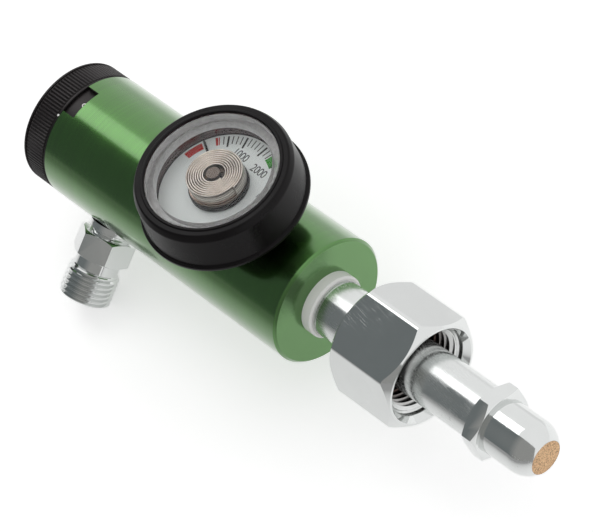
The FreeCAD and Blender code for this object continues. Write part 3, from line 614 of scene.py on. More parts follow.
def polished_chrome(colours, name, low_rough=0.05, high_rough=0.09):
    """Chrome plate on buffed brass.

    The eye sees a mirror that is a little wavy from buffing, with scratches that show light where it
    mirrors something dark. A real scratch is about 0.03 mm wide and is drawn at 0.2 mm.
    """
    material, tree, place = started(name)
    lay = {"Scale": (30.0, 1.0, 1.0), "Rotation": (0.0, math.radians(3.2), math.radians(-9.5))}
    along = add(tree, "ShaderNodeMapping", lay, {"Vector": place}, vector_type="TEXTURE")
    buffing = add(tree, "ShaderNodeTexNoise", {"Scale": 1 / (5 * MM), "Detail": 1.0}, {"Vector": place})
    scratch = {"Scale": 1 / (0.2 * MM), "Detail": 1.0, "Roughness": 0.6}
    hair = add(tree, "ShaderNodeTexNoise", scratch, {"Vector": along})
    handled = add(tree, "ShaderNodeTexNoise", {"Scale": 1 / (9 * MM), "Detail": 1.0}, {"Vector": place})
    limits = {"From Min": 0.42, "From Max": 0.62, "To Min": 0.0, "To Max": 0.2}
    amount = add(tree, "ShaderNodeMapRange", limits, {"Value": handled})
    limits = {"From Min": 0.58, "From Max": 0.66, "To Min": 0.0}
    worn = add(tree, "ShaderNodeMapRange", limits, {"Value": hair, "To Max": amount})
    limits = {"From Min": 0.35, "From Max": 0.65, "To Min": low_rough, "To Max": high_rough}
    clean = add(tree, "ShaderNodeMapRange", limits, {"Value": buffing})
    rough = add(tree, "ShaderNodeMath", links={0: clean, 1: worn}, operation="ADD")
    shades = (0.95, 1.0)
    wavy = (0.05 * MM, 0.4)
    heights = {"Height": buffing}
    plate = {"Metallic": 1.0}
    return surfaced(material, colours.chrome, shades, buffing, wavy, heights, plate, {"Roughness": rough})


def anodised_knob(colours):
    """Aluminium anodised black: a dark satin with a faint brown cast, and light on the rib edges."""
    material, tree, place = started("black_anodised_aluminium")
    grain = add(tree, "ShaderNodeTexNoise", {"Scale": 1 / (0.25 * MM), "Detail": 3.0}, {"Vector": place})
    cloud = add(tree, "ShaderNodeTexNoise", {"Scale": 1 / (5 * MM), "Detail": 2.0}, {"Vector": place})
    limits = {"From Min": 0.3, "From Max": 0.7, "To Min": 0.32, "To Max": 0.46}
    rough = add(tree, "ShaderNodeMapRange", limits, {"Value": grain})
    blasted = (0.004 * MM, 0.5)
    heights = {"Height": grain}
    satin = {"Metallic": 0.5, "IOR": 1.6}
    return surfaced(material, colours.knob, (0.75, 1.3), cloud, blasted, heights, satin, {"Roughness": rough})


def moulded_rubber(colours, name):
    """Moulded black rubber: near black, with wide soft highlights and a faint brown painted sheen in soft
    patches.
    """
    material, tree, place = started(name)
    grain = add(tree, "ShaderNodeTexNoise", {"Scale": 1 / (0.3 * MM), "Detail": 3.0}, {"Vector": place})
    # Painted sheen: soft patches where the black turns up to twice as light and faintly brown; they also vary
    # the roughness.
    sheen_patches = add(tree, "ShaderNodeTexNoise", {"Scale": 1 / (7 * MM), "Detail": 3.0}, {"Vector": place})
    limits = {"From Min": 0.3, "From Max": 0.7, "To Min": 0.24, "To Max": 0.36}
    rough = add(tree, "ShaderNodeMapRange", limits, {"Value": sheen_patches})
    skin = (0.005 * MM, 0.4)
    heights = {"Height": grain}
    soft = {"IOR": 1.5, "Specular IOR Level": 0.13}
    return surfaced(material, colours.rubber, (1.0, 2.0), sheen_patches, skin, heights, soft, {"Roughness": rough})


def clear_window():
    """Clear coated polycarbonate: almost all light goes through, with a faint sharp shine.

    Its index is set low, because the coat keeps the shine down. Shadows pass through it.
    """
    material, tree, place = started("clear_polycarbonate_window")
    haze = add(tree, "ShaderNodeTexNoise", {"Scale": 1 / (6 * MM), "Detail": 2.0}, {"Vector": place})
    tints = {6: (0.965, 0.97, 0.97, 1.0), 7: (0.99, 0.99, 0.99, 1.0)}
    tone = add(tree, "ShaderNodeMix", tints, {0: haze}, data_type="RGBA").outputs[2]
    clear_body = {"Transmission Weight": 1.0, "IOR": 1.2, "Roughness": 0.0}
    glass = add(tree, "ShaderNodeBsdfPrincipled", clear_body, {"Base Color": tone})
    clear = add(tree, "ShaderNodeBsdfTransparent", {"Color": (0.95, 0.95, 0.95, 1.0)})
    shadow = add(tree, "ShaderNodeLightPath").outputs["Is Shadow Ray"]
    mix = add(tree, "ShaderNodeMixShader", links={0: shadow, 1: glass, 2: clear})
    add(tree, "ShaderNodeOutputMaterial", links={"Surface": mix})
    return material


def frosted_rim():
    """Polycarbonate as the mould leaves it: a milky grey, streaked round the window's thick rim."""
    material, tree, place = started("moulded_polycarbonate_rim")
    streak = add(tree, "ShaderNodeTexNoise", {"Scale": 1 / (1.2 * MM), "Detail": 3.0}, {"Vector": place})
    tints = {6: (0.42, 0.42, 0.41, 1.0), 7: (1.0, 1.0, 1.0, 1.0)}
    tone = add(tree, "ShaderNodeMix", tints, {0: streak}, data_type="RGBA").outputs[2]
    milky = {"Transmission Weight": 0.55, "IOR": 1.45, "Roughness": 0.3}
    shader = add(tree, "ShaderNodeBsdfPrincipled", milky, {"Base Color": tone})
    add(tree, "ShaderNodeOutputMaterial", links={"Surface": shader})
    return material


def painted(name, tint, rough):
    """Baked paint or screen print: an even matte coat with an orange peel of about 0.2 mm."""
    material, tree, place = started(name)
    peel = add(tree, "ShaderNodeTexNoise", {"Scale": 1 / (0.2 * MM), "Detail": 2.0}, {"Vector": place})
    matte = {"Roughness": rough, "Specular IOR Level": 0.25}
    return surfaced(material, tint, (0.95, 1.04), peel, (0.002 * MM, 0.3), {"Height": peel}, matte)


def spun_metal(name, tint, rough, pitch, direction="Z", groove=0.82):
    """Turned or drawn metal: a soft mirror with rings round its axis, drawn coarse enough to show."""
    material, tree, place = started(name)
    rows = {"Scale": wave_scale(pitch), "Distortion": 1.5, "Detail": 2.0}
    rings = add(tree, "ShaderNodeTexWave", rows, {"Vector": place}, bands_direction=direction).outputs["Fac"]
    bare = {"Metallic": 1.0, "Roughness": rough}
    return surfaced(material, tint, (groove, 1.1), rings, (0.01 * MM, 0.5), {"Height": rings}, bare)


def plated_thread(colours):
    """Plate left as cut, in the nut: duller than the outside, with painted shade that turns it dark brown
    towards the back.
    """
    material, tree, place = started("plated_inside_thread")
    along = add(tree, "ShaderNodeSeparateXYZ", links={0: place}).outputs["X"]
    # A noise breaks up the edge of the painted shade, which deepens from the mouth towards the back.
    deep_shade = add(tree, "ShaderNodeTexNoise", {"Scale": 1 / (1.5 * MM), "Detail": 2.0}, {"Vector": place})
    reach = add(tree, "ShaderNodeMath", {1: 2 * MM}, {0: deep_shade, 2: along}, operation="MULTIPLY_ADD")
    front = high("union_nut").x
    depth = {"From Min": front - 9 * MM, "From Max": front - 1.5 * MM}
    share = add(tree, "ShaderNodeMapRange", depth, {"Value": reach})
    tints = {6: rgba(colours.deep_shade), 7: rgba(colours.chrome)}
    tone = add(tree, "ShaderNodeMix", tints, {0: share}, data_type="RGBA").outputs[2]
    dull = {"Metallic": 1.0, "Roughness": 0.24}
    shader = add(tree, "ShaderNodeBsdfPrincipled", dull, {"Base Color": tone})
    add(tree, "ShaderNodeOutputMaterial", links={"Surface": shader})
    return material


def sintered_bronze(colours):
    """Sintered bronze: dull grains about 0.3 mm across, each a little different in tint, with painted shade
    that darkens them towards the pores between them.
    """
    material, tree, place = started("sintered_bronze")
    grains = add(tree, "ShaderNodeTexVoronoi", {"Scale": 1 / (0.3 * MM)}, {"Vector": place}).outputs
    tints = {6: rgba(colours.bronze, 0.9), 7: rgba(colours.bronze, 1.55)}
    tint = add(tree, "ShaderNodeMix", tints, {0: grains["Color"]}, data_type="RGBA").outputs[2]
    # Painted shade: each grain darkens to half its tint towards the pores round it.
    limits = {"From Min": 0.45, "From Max": 0.8}
    pore_shade = add(tree, "ShaderNodeMapRange", limits, {"Value": grains["Distance"]})
    dark = {7: rgba(colours.bronze, 0.5)}
    tone = add(tree, "ShaderNodeMix", dark, {0: pore_shade, 6: tint}, data_type="RGBA").outputs[2]
    heights = {"Height": grains["Distance"]}
    bumps = add(tree, "ShaderNodeBump", {"Distance": -0.1 * MM, "Strength": 0.7}, heights)
    dull = {"Metallic": 0.2, "Roughness": 0.55}
    shader = add(tree, "ShaderNodeBsdfPrincipled", dull, {"Base Color": tone, "Normal": bumps})
    add(tree, "ShaderNodeOutputMaterial", links={"Surface": shader})
    return material


def white_nylon(colours, name):
    """Turned nylon: a waxy white with a soft sheen and faint tool rings 0.3 mm apart."""
    material, tree, place = started(name)
    across = add(tree, "ShaderNodeMapping", {"Scale": (1.0, 0.05, 0.05)}, {"Vector": place})
    rings = add(tree, "ShaderNodeTexNoise", {"Scale": 1 / (0.3 * MM), "Detail": 2.0}, {"Vector": across})
    reach = (1.2 * MM, 1.1 * MM, 1.0 * MM)
    waxy = {"Roughness": 0.38, "IOR": 1.53, "Subsurface Weight": 0.15, "Subsurface Radius": reach}
    return surfaced(material, colours.nylon, (0.95, 1.0), rings, (0.01 * MM, 0.4), {"Height": rings}, waxy)


def dressed(node, material):
    """A CAD node that keeps its own shape gets its material."""
    for item in frame["nodes"][node].material_slots:
        item.material = material


# Operators


class MakeInlet(bpy.types.Operator):
    """Turns the nipple with its hexagon, round nose and groove"""

    bl_idname = "regulator.make_inlet"
    bl_label = "Inlet"

    def execute(self, context):
        sizes = context.scene.regulator.inlet
        colours = context.scene.regulator.colours
        tip = high("inlet_nipple").x
        back = low("inlet_nipple").x
        shoulder = high("inlet_washer").x
        nose = sizes.nose_radius
        hex_front = -sizes.nose_length
        hex_back = hex_front - sizes.hex_length
        groove_back = sizes.groove_place - sizes.groove_width / 2
        groove_front = sizes.groove_place + sizes.groove_width / 2
        groove_floor = sizes.shank_radius - sizes.groove_depth
        corners = [
            (sizes.bore_radius, back, 0),
            (sizes.thread_radius, back, sizes.edge),
            (sizes.thread_radius, shoulder, 0),
            (sizes.shank_radius, shoulder, 0.1 * MM),
            (sizes.shank_radius, groove_back, 0),
            (groove_floor, groove_back, 0),
            (groove_floor, groove_front, 0),
            (sizes.shank_radius, groove_front, 0),
            (sizes.shank_radius, sizes.shank_end, 0.15 * MM),
            (sizes.stem_radius, sizes.shank_end, 0.1 * MM),
            (sizes.stem_radius, hex_back, 0),
            (sizes.stem_radius, hex_front - SUNK, 0),
            (nose, hex_front - SUNK, 0),
        ]
        outline = rounded(corners)
        arc_steps = 14
        for step in range(arc_steps + 1):
            turn = math.asin(tip / nose) * step / arc_steps
            outline.append((nose * math.cos(turn), nose * math.sin(turn)))
        mouth = math.sqrt(nose ** 2 - tip ** 2)
        pocket = high("inlet_filter").y + SUNK
        chamfer = (mouth - pocket) * 0.4
        filter_seat = low("inlet_filter").x
        outline += [
            (mouth - chamfer, tip),
            (pocket, tip - chamfer),
            (pocket, filter_seat),
            (sizes.bore_radius, filter_seat),
        ]
        piece = turned("inlet_nipple_polished", outline, 160)
        hole = sizes.stem_radius - sizes.edge - SUNK
        collar = hexagon_ring("collar", sizes, sizes.hex_flats, hex_back, hex_front, hole)
        smooth(placed(joined([piece, collar]), ALONG_X))
        chrome = polished_chrome(colours, "chrome_plate_nipple")
        finished(piece, "regulator", "chromed_brass", chrome, "inlet_nipple")
        worn = polished_chrome(colours, "chrome_plate_stem", 0.17, 0.26)
        refinished(piece, worn, lambda place: place.x < hex_back - SUNK)
        dressed("inlet_filter", sintered_bronze(colours))
        dressed("inlet_washer", white_nylon(colours, "turned_white_nylon"))
        return {"FINISHED"}


class MakeNut(bpy.types.Operator):
    """Cuts the union nut from hexagon bar, with its inside thread"""

    bl_idname = "regulator.make_nut"
    bl_label = "Union nut"

    def execute(self, context):
        sizes = context.scene.regulator.nut
        colours = context.scene.regulator.colours
        back = low("union_nut").x
        front = high("union_nut").x
        shape = (sizes.corner_drop, sizes.face_inset, sizes.corner_round)
        nut = hexagon("union_nut_polished", sizes.flats, back, front, *shape)
        placed(nut, Matrix.Rotation(sizes.turn - FACTORY_CIRCLE_START, 4, "Z"))
        wall = back + sizes.back_wall
        mouth = front - sizes.mouth_depth
        chamfer = 0.3 * MM
        corners = [
            (sizes.bore_radius + chamfer, back - OVERRUN, 0),
            (sizes.bore_radius + chamfer, back, 0),
            (sizes.bore_radius, back + chamfer, 0),
            (sizes.bore_radius, wall, 0),
            (sizes.root_radius, wall, 0),
            (sizes.root_radius, mouth, 0),
            (sizes.mouth_radius, mouth + sizes.mouth_radius - sizes.root_radius, 0),
            (sizes.mouth_radius, front - sizes.flare_depth, sizes.mouth_round),
            (sizes.mouth_radius + sizes.mouth_flare, front + 0.1 * MM, 0),
        ]
        combined(nut, turned("hollow", rounded(corners, 6), 128, solid=True), "DIFFERENCE")
        inside = sizes.root_radius + SUNK
        depth = inside - sizes.crest_radius
        relief = 2 * MM
        trim = [
            (inside, wall + relief),
            (sizes.crest_radius, wall + relief + depth),
            (sizes.crest_radius, mouth - 0.3 * depth),
            (inside, mouth + 0.3 * depth),
        ]
        ridge = thread(inside, sizes.crest_radius, sizes.pitch, wall, mouth, turned("envelope", trim, 96))
        smooth(placed(joined([nut, ridge]), ALONG_X))
        finished(nut, "nut", "chromed_brass", polished_chrome(colours, "chrome_plate_nut"), "union_nut")
        bored = sizes.mouth_radius + SUNK
        inner = plated_thread(colours)
        refinished(nut, inner, lambda place: place.yz.length < bored and place.x > back + SUNK)
        return {"FINISHED"}


class MakeOutlet(bpy.types.Operator):
    """Turns the outlet with its hexagon and outside thread"""

    bl_idname = "regulator.make_outlet"
    bl_label = "Outlet"

    def execute(self, context):
        sizes = context.scene.regulator.outlet
        hex_top = sizes.hex_foot + sizes.hex_length
        hex_middle = sizes.hex_foot + sizes.hex_length / 2
        neck_foot = sizes.hex_foot - sizes.neck_length
        thread_foot = sizes.end - sizes.thread_length
        bore_end = sizes.end - sizes.bore_depth
        root = sizes.thread_radius - 5 / 8 * sizes.pitch * math.cos(math.radians(30))
        chamfer = 0.3 * MM
        corners = [
            (sizes.passage_radius, sizes.screw_foot, 0),
            (sizes.screw_radius, sizes.screw_foot, 0),
            (sizes.screw_radius, sizes.collar_foot, 0),
            (sizes.collar_radius, sizes.collar_foot, 0),
            (sizes.collar_radius, neck_foot, 0.12 * MM),
            (sizes.neck_radius, neck_foot, 0),
            (sizes.neck_radius, hex_middle, 0),
            (sizes.undercut_radius, hex_middle, 0),
            (sizes.undercut_radius, thread_foot, 0),
            (root, thread_foot + 0.2 * MM, 0),
            (root, sizes.end, 0.15 * MM),
            (sizes.bore_radius + chamfer, sizes.end, 0),
            (sizes.bore_radius, sizes.end - chamfer, 0),
            (sizes.bore_radius, bore_end, 0),
            (sizes.passage_radius, bore_end, 0),
        ]
        piece = turned("outlet_fitting_polished", rounded(corners), 96)
        hole = sizes.neck_radius - sizes.edge - SUNK
        flats = hexagon_ring("flats", sizes, sizes.flats, sizes.hex_foot, hex_top, hole)
        crest = sizes.thread_radius
        inside = sizes.undercut_radius - SUNK
        last = sizes.end - 0.02 * MM
        trim = [
            (inside, thread_foot),
            (sizes.undercut_radius, thread_foot),
            (crest, thread_foot + crest - sizes.undercut_radius),
            (crest, sizes.end - sizes.end_chamfer),
            (crest - sizes.end_chamfer, last),
            (inside, last),
        ]
        envelope = turned("envelope", trim, 96)
        ridge = thread(root - SUNK, crest, sizes.pitch, thread_foot, sizes.end, envelope)
        smooth(placed(joined([piece, flats, ridge]), AT_OUTLET))
        chrome = polished_chrome(context.scene.regulator.colours, "chrome_plate_outlet")
        finished(piece, "regulator", "chromed_brass", chrome, "outlet_fitting")
        return {"FINISHED"}


class MakeKnob(bpy.types.Operator):
    """Turns the selector knob, mills its ribs and prints the flow figures"""

    bl_idname = "regulator.make_knob"
    bl_label = "Selector knob"

    def ribbed(self, sizes):
        """Each rib takes six vertices of the circle, and those in its valley are pulled in."""
        rear = low("knob").x
        outer = high("knob").y
        front = low("number_ring").x - SUNK
        root = outer - sizes.rib_depth
        grip_front = front - sizes.collar_length
        rim_front = rear + sizes.rim_length
        grip_rear = rim_front + sizes.groove_width
        bead_end = grip_rear + sizes.bead_length
        small = 0.12 * MM
        outline = [
            (sizes.shaft_radius, sizes.well_floor),
            (sizes.well_radius, sizes.well_floor),
            (sizes.well_radius, rear + sizes.dish_depth),
            (sizes.dish_radius, rear + sizes.dish_depth),
            (sizes.dish_radius + 0.25 * MM, rear),
            (outer - 1.3 * sizes.rim_drop, rear),
            (outer - 0.4 * sizes.rim_drop, rear + 0.3 * sizes.rim_drop),
            (outer, rear + sizes.rim_drop),
            (outer, rim_front - 0.1 * MM),
            (outer - 0.1 * MM, rim_front),
            (root, rim_front),
            (root, grip_rear),
            (outer - small, grip_rear + small),
            (outer, grip_rear + 0.25 * MM),
            (outer, bead_end - small),
            (outer - 0.07 * MM, bead_end),
            (outer, bead_end + small),
            (outer, grip_front - 0.15 * MM),
            (root + 0.1 * MM, grip_front),
            (root, grip_front),
            (root, front - 0.15 * MM),
            (root - 0.15 * MM, front),
            (sizes.hub_radius, front),
            (sizes.hub_radius, sizes.hub_end),
            (sizes.chamber_radius, sizes.hub_end),
            (sizes.chamber_radius, sizes.chamber_end),
            (sizes.shaft_radius, sizes.chamber_end),
        ]
        steps = sizes.ribs * STEPS_PER_RIB
        piece = turned("selector_knob_ribbed", outline, steps)
        bpy.ops.object.mode_set(mode="EDIT")
        crest = (root + outer) / 2
        for step, share in RIB_VALLEY:
            scale = 1 - share * sizes.rib_depth / outer

            def in_valley(place):
                index = round(math.atan2(place.y, place.x) / math.tau * steps) % STEPS_PER_RIB
                in_band = grip_rear + SUNK < place.z < grip_front - SUNK
                return in_band and index in (step, STEPS_PER_RIB - step) and place.xy.length > crest

            pick("VERT", in_valley)
            bpy.ops.transform.resize(value=(scale, scale, 1), center_override=(0, 0, 0))
        bpy.ops.object.mode_set(mode="OBJECT")
        return placed(piece, ALONG_X)

    def figures(self, sizes, ink):
        """Plain numbers round the ring that the barrel's window shows."""
        radius = high("number_ring").z - 0.01 * MM
        middle = high("number_ring").x - 0.12 * MM - sizes.figure_height / 2
        place = Matrix.Translation((middle, 0, radius)) @ Matrix.Rotation(math.radians(90), 4, "Z")
        made = []
        for index, label in enumerate(FLOW_FIGURES):
            number = lettered("flow_figure_%02d" % index, label, sizes.figure_height, SUNK)
            made.append(placed(number, Matrix.Rotation(math.tau * index / len(FLOW_FIGURES), 4, "X") @ place))
        figures = joined(made)
        figures.name = "flow_figures"
        finished(figures, "selector", "white_nylon", ink)

    def dot(self, sizes, ink):
        """The white index dot on the knob's plain collar."""
        collar = high("knob").y - sizes.rib_depth
        middle = low("number_ring").x - sizes.collar_length / 2 - SUNK
        outline = [
            (sizes.dot_radius, collar - 0.1 * MM),
            (sizes.dot_radius, collar + 0.02 * MM),
            (sizes.dot_radius * 0.75, collar + 0.06 * MM),
        ]
        piece = turned("index_dot", outline, 24, solid=True)
        smooth(placed(piece, Matrix.Translation((middle, 0, 0)) @ Matrix.Rotation(sizes.dot_turn, 4, "X")))
        finished(piece, "selector", "white_nylon", ink)

    def execute(self, context):
        sizes = context.scene.regulator.knob
        colours = context.scene.regulator.colours
        black = anodised_knob(colours)
        white = painted("white_filled_print", colours.nylon, 0.45)
        finished(smooth(self.ribbed(sizes), 28), "selector", "black_knob", black, "knob")
        self.figures(sizes, white)
        self.dot(sizes, white)
        dressed("number_ring", black)
        return {"FINISHED"}


class MakeGaugeHousing(bpy.types.Operator):
    """Moulds the gauge's rubber boot and its clear window"""

    bl_idname = "regulator.make_gauge_housing"
    bl_label = "Gauge housing"

    def boot(self, sizes, colours):
        """The boot's wall, rounded shoulder and lip, with the thin bead round its opening."""
        foot = low("gauge_boot").z
        top = high("gauge_boot").z
        outer = high("gauge_boot").y
        floor = foot + sizes.boot_floor
        lip = top - sizes.bead
        corners = [
            (sizes.hole_radius, foot, 0),
            (outer, foot, 0.35 * MM),
            (outer, foot + sizes.foot_bead, 0.3 * MM),
            (sizes.wall_radius, foot + sizes.foot_bead + 0.15 * MM, 0.15 * MM),
            (sizes.shoulder_radius, top - sizes.shoulder_drop, 1.6 * MM),
            (sizes.lip_radius, lip, 0.7 * MM),
            (sizes.window_radius + 1.0 * MM, lip - 0.08 * MM, 0.06 * MM),
            (sizes.window_radius + 0.85 * MM, top, 0.2 * MM),
            (sizes.window_radius + 0.25 * MM, top, 0.2 * MM),
            (sizes.window_radius, sizes.under_lip, 0),
            (sizes.case_radius, sizes.under_lip, 0),
            (sizes.case_radius, floor, 0),
            (sizes.hole_radius, floor, 0),
        ]
        boot = placed(turned("gauge_boot_moulded", rounded(corners, 6), 160), AT_GAUGE)
        rubber = moulded_rubber(colours, "moulded_black_rubber")
        finished(smooth(boot, 40), "regulator", "black_rubber", rubber, "gauge_boot")

    def lens(self, sizes):
        """The window is clear, and its thick rim is frosted."""
        foot = low("gauge_lens").z
        top = high("gauge_lens").z
        rim = high("gauge_lens").y
        inner = rim - sizes.lens_rim
        edge = 0.3 * MM
        under = top - sizes.lens_thickness
        outline = [(inner, under), (inner, foot), (rim, foot), (rim, top - edge), (rim - edge, top)]
        lens = placed(turned("gauge_window_clear", outline, 128, solid=True), AT_GAUGE)
        finished(smooth(lens), "regulator", "clear_lens", clear_window(), "gauge_lens")
        refinished(lens, frosted_rim(), lambda place: math.hypot(place.x - GAUGE_X, place.y) > inner - SUNK)

    def execute(self, context):
        sizes = context.scene.regulator.gauge
        colours = context.scene.regulator.colours
        self.boot(sizes, colours)
        self.lens(sizes)
        # The case's tint carries painted shade and a painted reflection of the dial's red print.
        dressed("gauge_case", spun_metal("spun_steel_case", colours.case, 0.22, 1.3 * MM, groove=0.6))
        return {"FINISHED"}


class MakeGaugeFace(bpy.types.Operator):
    """Prints the dial and winds the coiled tube in its middle"""

    bl_idname = "regulator.make_gauge_face"
    bl_label = "Gauge face"

    def field(self, sizes, name, start, end, width):
        """A printed field: a radial edge spun through an angle and given its thickness."""
        start, end = math.radians(start), math.radians(end)
        height = high("dial").z
        middle = sizes.tick_outer - width / 2
        bpy.ops.object.select_all(action="DESELECT")
        bpy.ops.mesh.primitive_plane_add(
            size=width, location=(middle, 0, height), rotation=(math.radians(90), 0, 0)
        )
        piece = added(name)
        bpy.ops.object.mode_set(mode="EDIT")
        bpy.ops.mesh.select_all(action="SELECT")
        scale = 2 * sizes.print_rise / width
        bpy.ops.transform.resize(value=(1, 1, scale), center_override=(middle, 0, height))
        steps = max(2, round(math.degrees(end - start) / 2))
        bpy.ops.mesh.spin(steps=steps, angle=end - start, center=(0, 0, height), axis=(0, 0, 1))
        bpy.ops.object.mode_set(mode="OBJECT")
        merged(piece)
        turn = start if max(corner.co.y for corner in piece.data.vertices) > SUNK else end
        return placed(piece, AT_GAUGE @ Matrix.Rotation(turn, 4, "Z"))

    def tick(self, sizes, turn, inner, outer, width):
        """A printed mark between two distances from the end of the marks."""
        middle = sizes.tick_outer - (inner + outer) / 2
        bpy.ops.object.select_all(action="DESELECT")
        bpy.ops.mesh.primitive_cube_add(
            size=1, location=(middle, 0, high("dial").z), scale=(inner - outer, width, 2 * sizes.print_rise)
        )
        return placed(added("mark"), AT_GAUGE @ Matrix.Rotation(turn, 4, "Z"))

    def figures(self, sizes, label, degrees, radius, share):
        """A number of narrow figures, upright on the dial."""
        turn = math.radians(degrees)
        number = lettered("dial_" + label, label, sizes.figure_height * share, sizes.print_rise, spacing=0.95)
        place = Vector((GAUGE_X + radius * math.cos(turn), radius * math.sin(turn), high("dial").z))
        return placed(number, Matrix.Translation(place) @ Matrix.Diagonal((0.8, 1.0, 1.0, 1.0)))

    def coil(self, sizes):
        """A flattened tube wound from half turns about two centres, so that it grows steadily."""
        foot = low("bourdon_coil").z
        top = high("bourdon_coil").z
        half_width = sizes.coil_width / 2
        growth = (sizes.coil_radius - sizes.coil_inner - sizes.coil_width) / (2 * sizes.coil_turns)
        start = (sizes.coil_inner + half_width, 0, foot + half_width)
        bpy.ops.object.select_all(action="DESELECT")
        bpy.ops.mesh.primitive_circle_add(
            vertices=10, radius=half_width, location=start, rotation=(math.radians(90), 0, 0)
        )
        piece = added("bourdon_coil_wound")
        bpy.ops.object.mode_set(mode="EDIT")
        pick("VERT", lambda place: place.z > foot + half_width + MERGE)
        bpy.ops.transform.translate(value=(0, 0, top - foot - sizes.coil_width))
        bpy.ops.mesh.select_mode(type="EDGE")
        bpy.ops.mesh.select_all(action="SELECT")
        centre = 0.0
        side = 1
        for _ in range(2 * sizes.coil_turns):
            bpy.ops.mesh.spin(steps=20, angle=math.pi, center=(centre, 0, 0), axis=(0, 0, 1))
            centre += side * growth
            side = -side
        bpy.ops.object.mode_set(mode="OBJECT")
        return smooth(placed(merged(piece, fill=True), AT_GAUGE), 50)

    def execute(self, context):
        sizes = context.scene.regulator.dial
        colours = context.scene.regulator.colours
        ink = painted("black_screen_print", colours.ink, 0.5)
        reds = joined([self.field(sizes, *row) for row in RED_FIELDS])
        reds.name = "dial_print_red"
        finished(reds, "regulator", "dial_paint", painted("red_screen_print", colours.red, 0.5))
        full = self.field(sizes, *GREEN_FIELD)
        full.name = "dial_print_green"
        finished(full, "regulator", "dial_paint", painted("green_screen_print", colours.green, 0.5))
        marks = [self.tick(sizes, math.radians(turn), *row) for turn, *row in LONE_MARKS]
        for index in range(FIRST_MARK, LAST_MARK + 1):
            numbered = index % 5 == 0 and index >= 0
            tall = numbered or index == FIRST_MARK + 1
            reach = sizes.tick_long if tall else sizes.tick_short
            width = sizes.tick_width * (sizes.tick_bold if tall else 1.0)
            marks.append(self.tick(sizes, sizes.full_turn - index * sizes.step, reach, 0.0, width))
        marks += [self.figures(sizes, *row) for row in DIAL_FIGURES]
        black = joined(marks)
        black.name = "dial_print_black"
        finished(black, "regulator", "dial_paint", ink)

        tube = spun_metal("drawn_bronze_tube", colours.coil, 0.28, 0.75 * MM, groove=0.4)
        finished(self.coil(sizes), "regulator", "steel", tube, "bourdon_coil")
        dressed("dial", painted("baked_dial_paint", colours.dial, 0.42))
        dressed("coil_drum", spun_metal("turned_coil_drum", colours.drum, 0.32, 0.7 * MM))
        dressed("gauge_stem", spun_metal("nickel_plated_brass", colours.post, 0.42, 0.5 * MM))
        dressed("pointer", ink)
        return {"FINISHED"}


class FinishBarrel(bpy.types.Operator):
    """Dyes the barrel green"""

    bl_idname = "regulator.finish_barrel"
    bl_label = "Barrel"

    def execute(self, context):
        dressed("body", anodised_barrel(context.scene.regulator.colours))
        return {"FINISHED"}


class FinishInside(bpy.types.Operator):
    """Gives the inner pieces their brass, steel, rubber and nylon"""

    bl_idname = "regulator.finish_inside"
    bl_label = "Inner pieces"

    def execute(self, context):
        colours = context.scene.regulator.colours
        finishes = {
            "brass": spun_metal("turned_brass", colours.brass, 0.25, 0.4 * MM, "X"),
            "steel": spun_metal("drawn_steel", colours.steel, 0.25, 0.4 * MM, "X"),
            "black_rubber": moulded_rubber(colours, "nitrile_rings"),
            "white_nylon": white_nylon(colours, "moulded_nylon"),
        }
        done = {"inlet_washer", "gauge_case", "gauge_stem", "coil_drum"}
        for row in frame["record"]["subparts"]:
            if row["node"] not in done and row["material_slot"] in finishes:
                dressed(row["node"], finishes[row["material_slot"]])
        return {"FINISHED"}


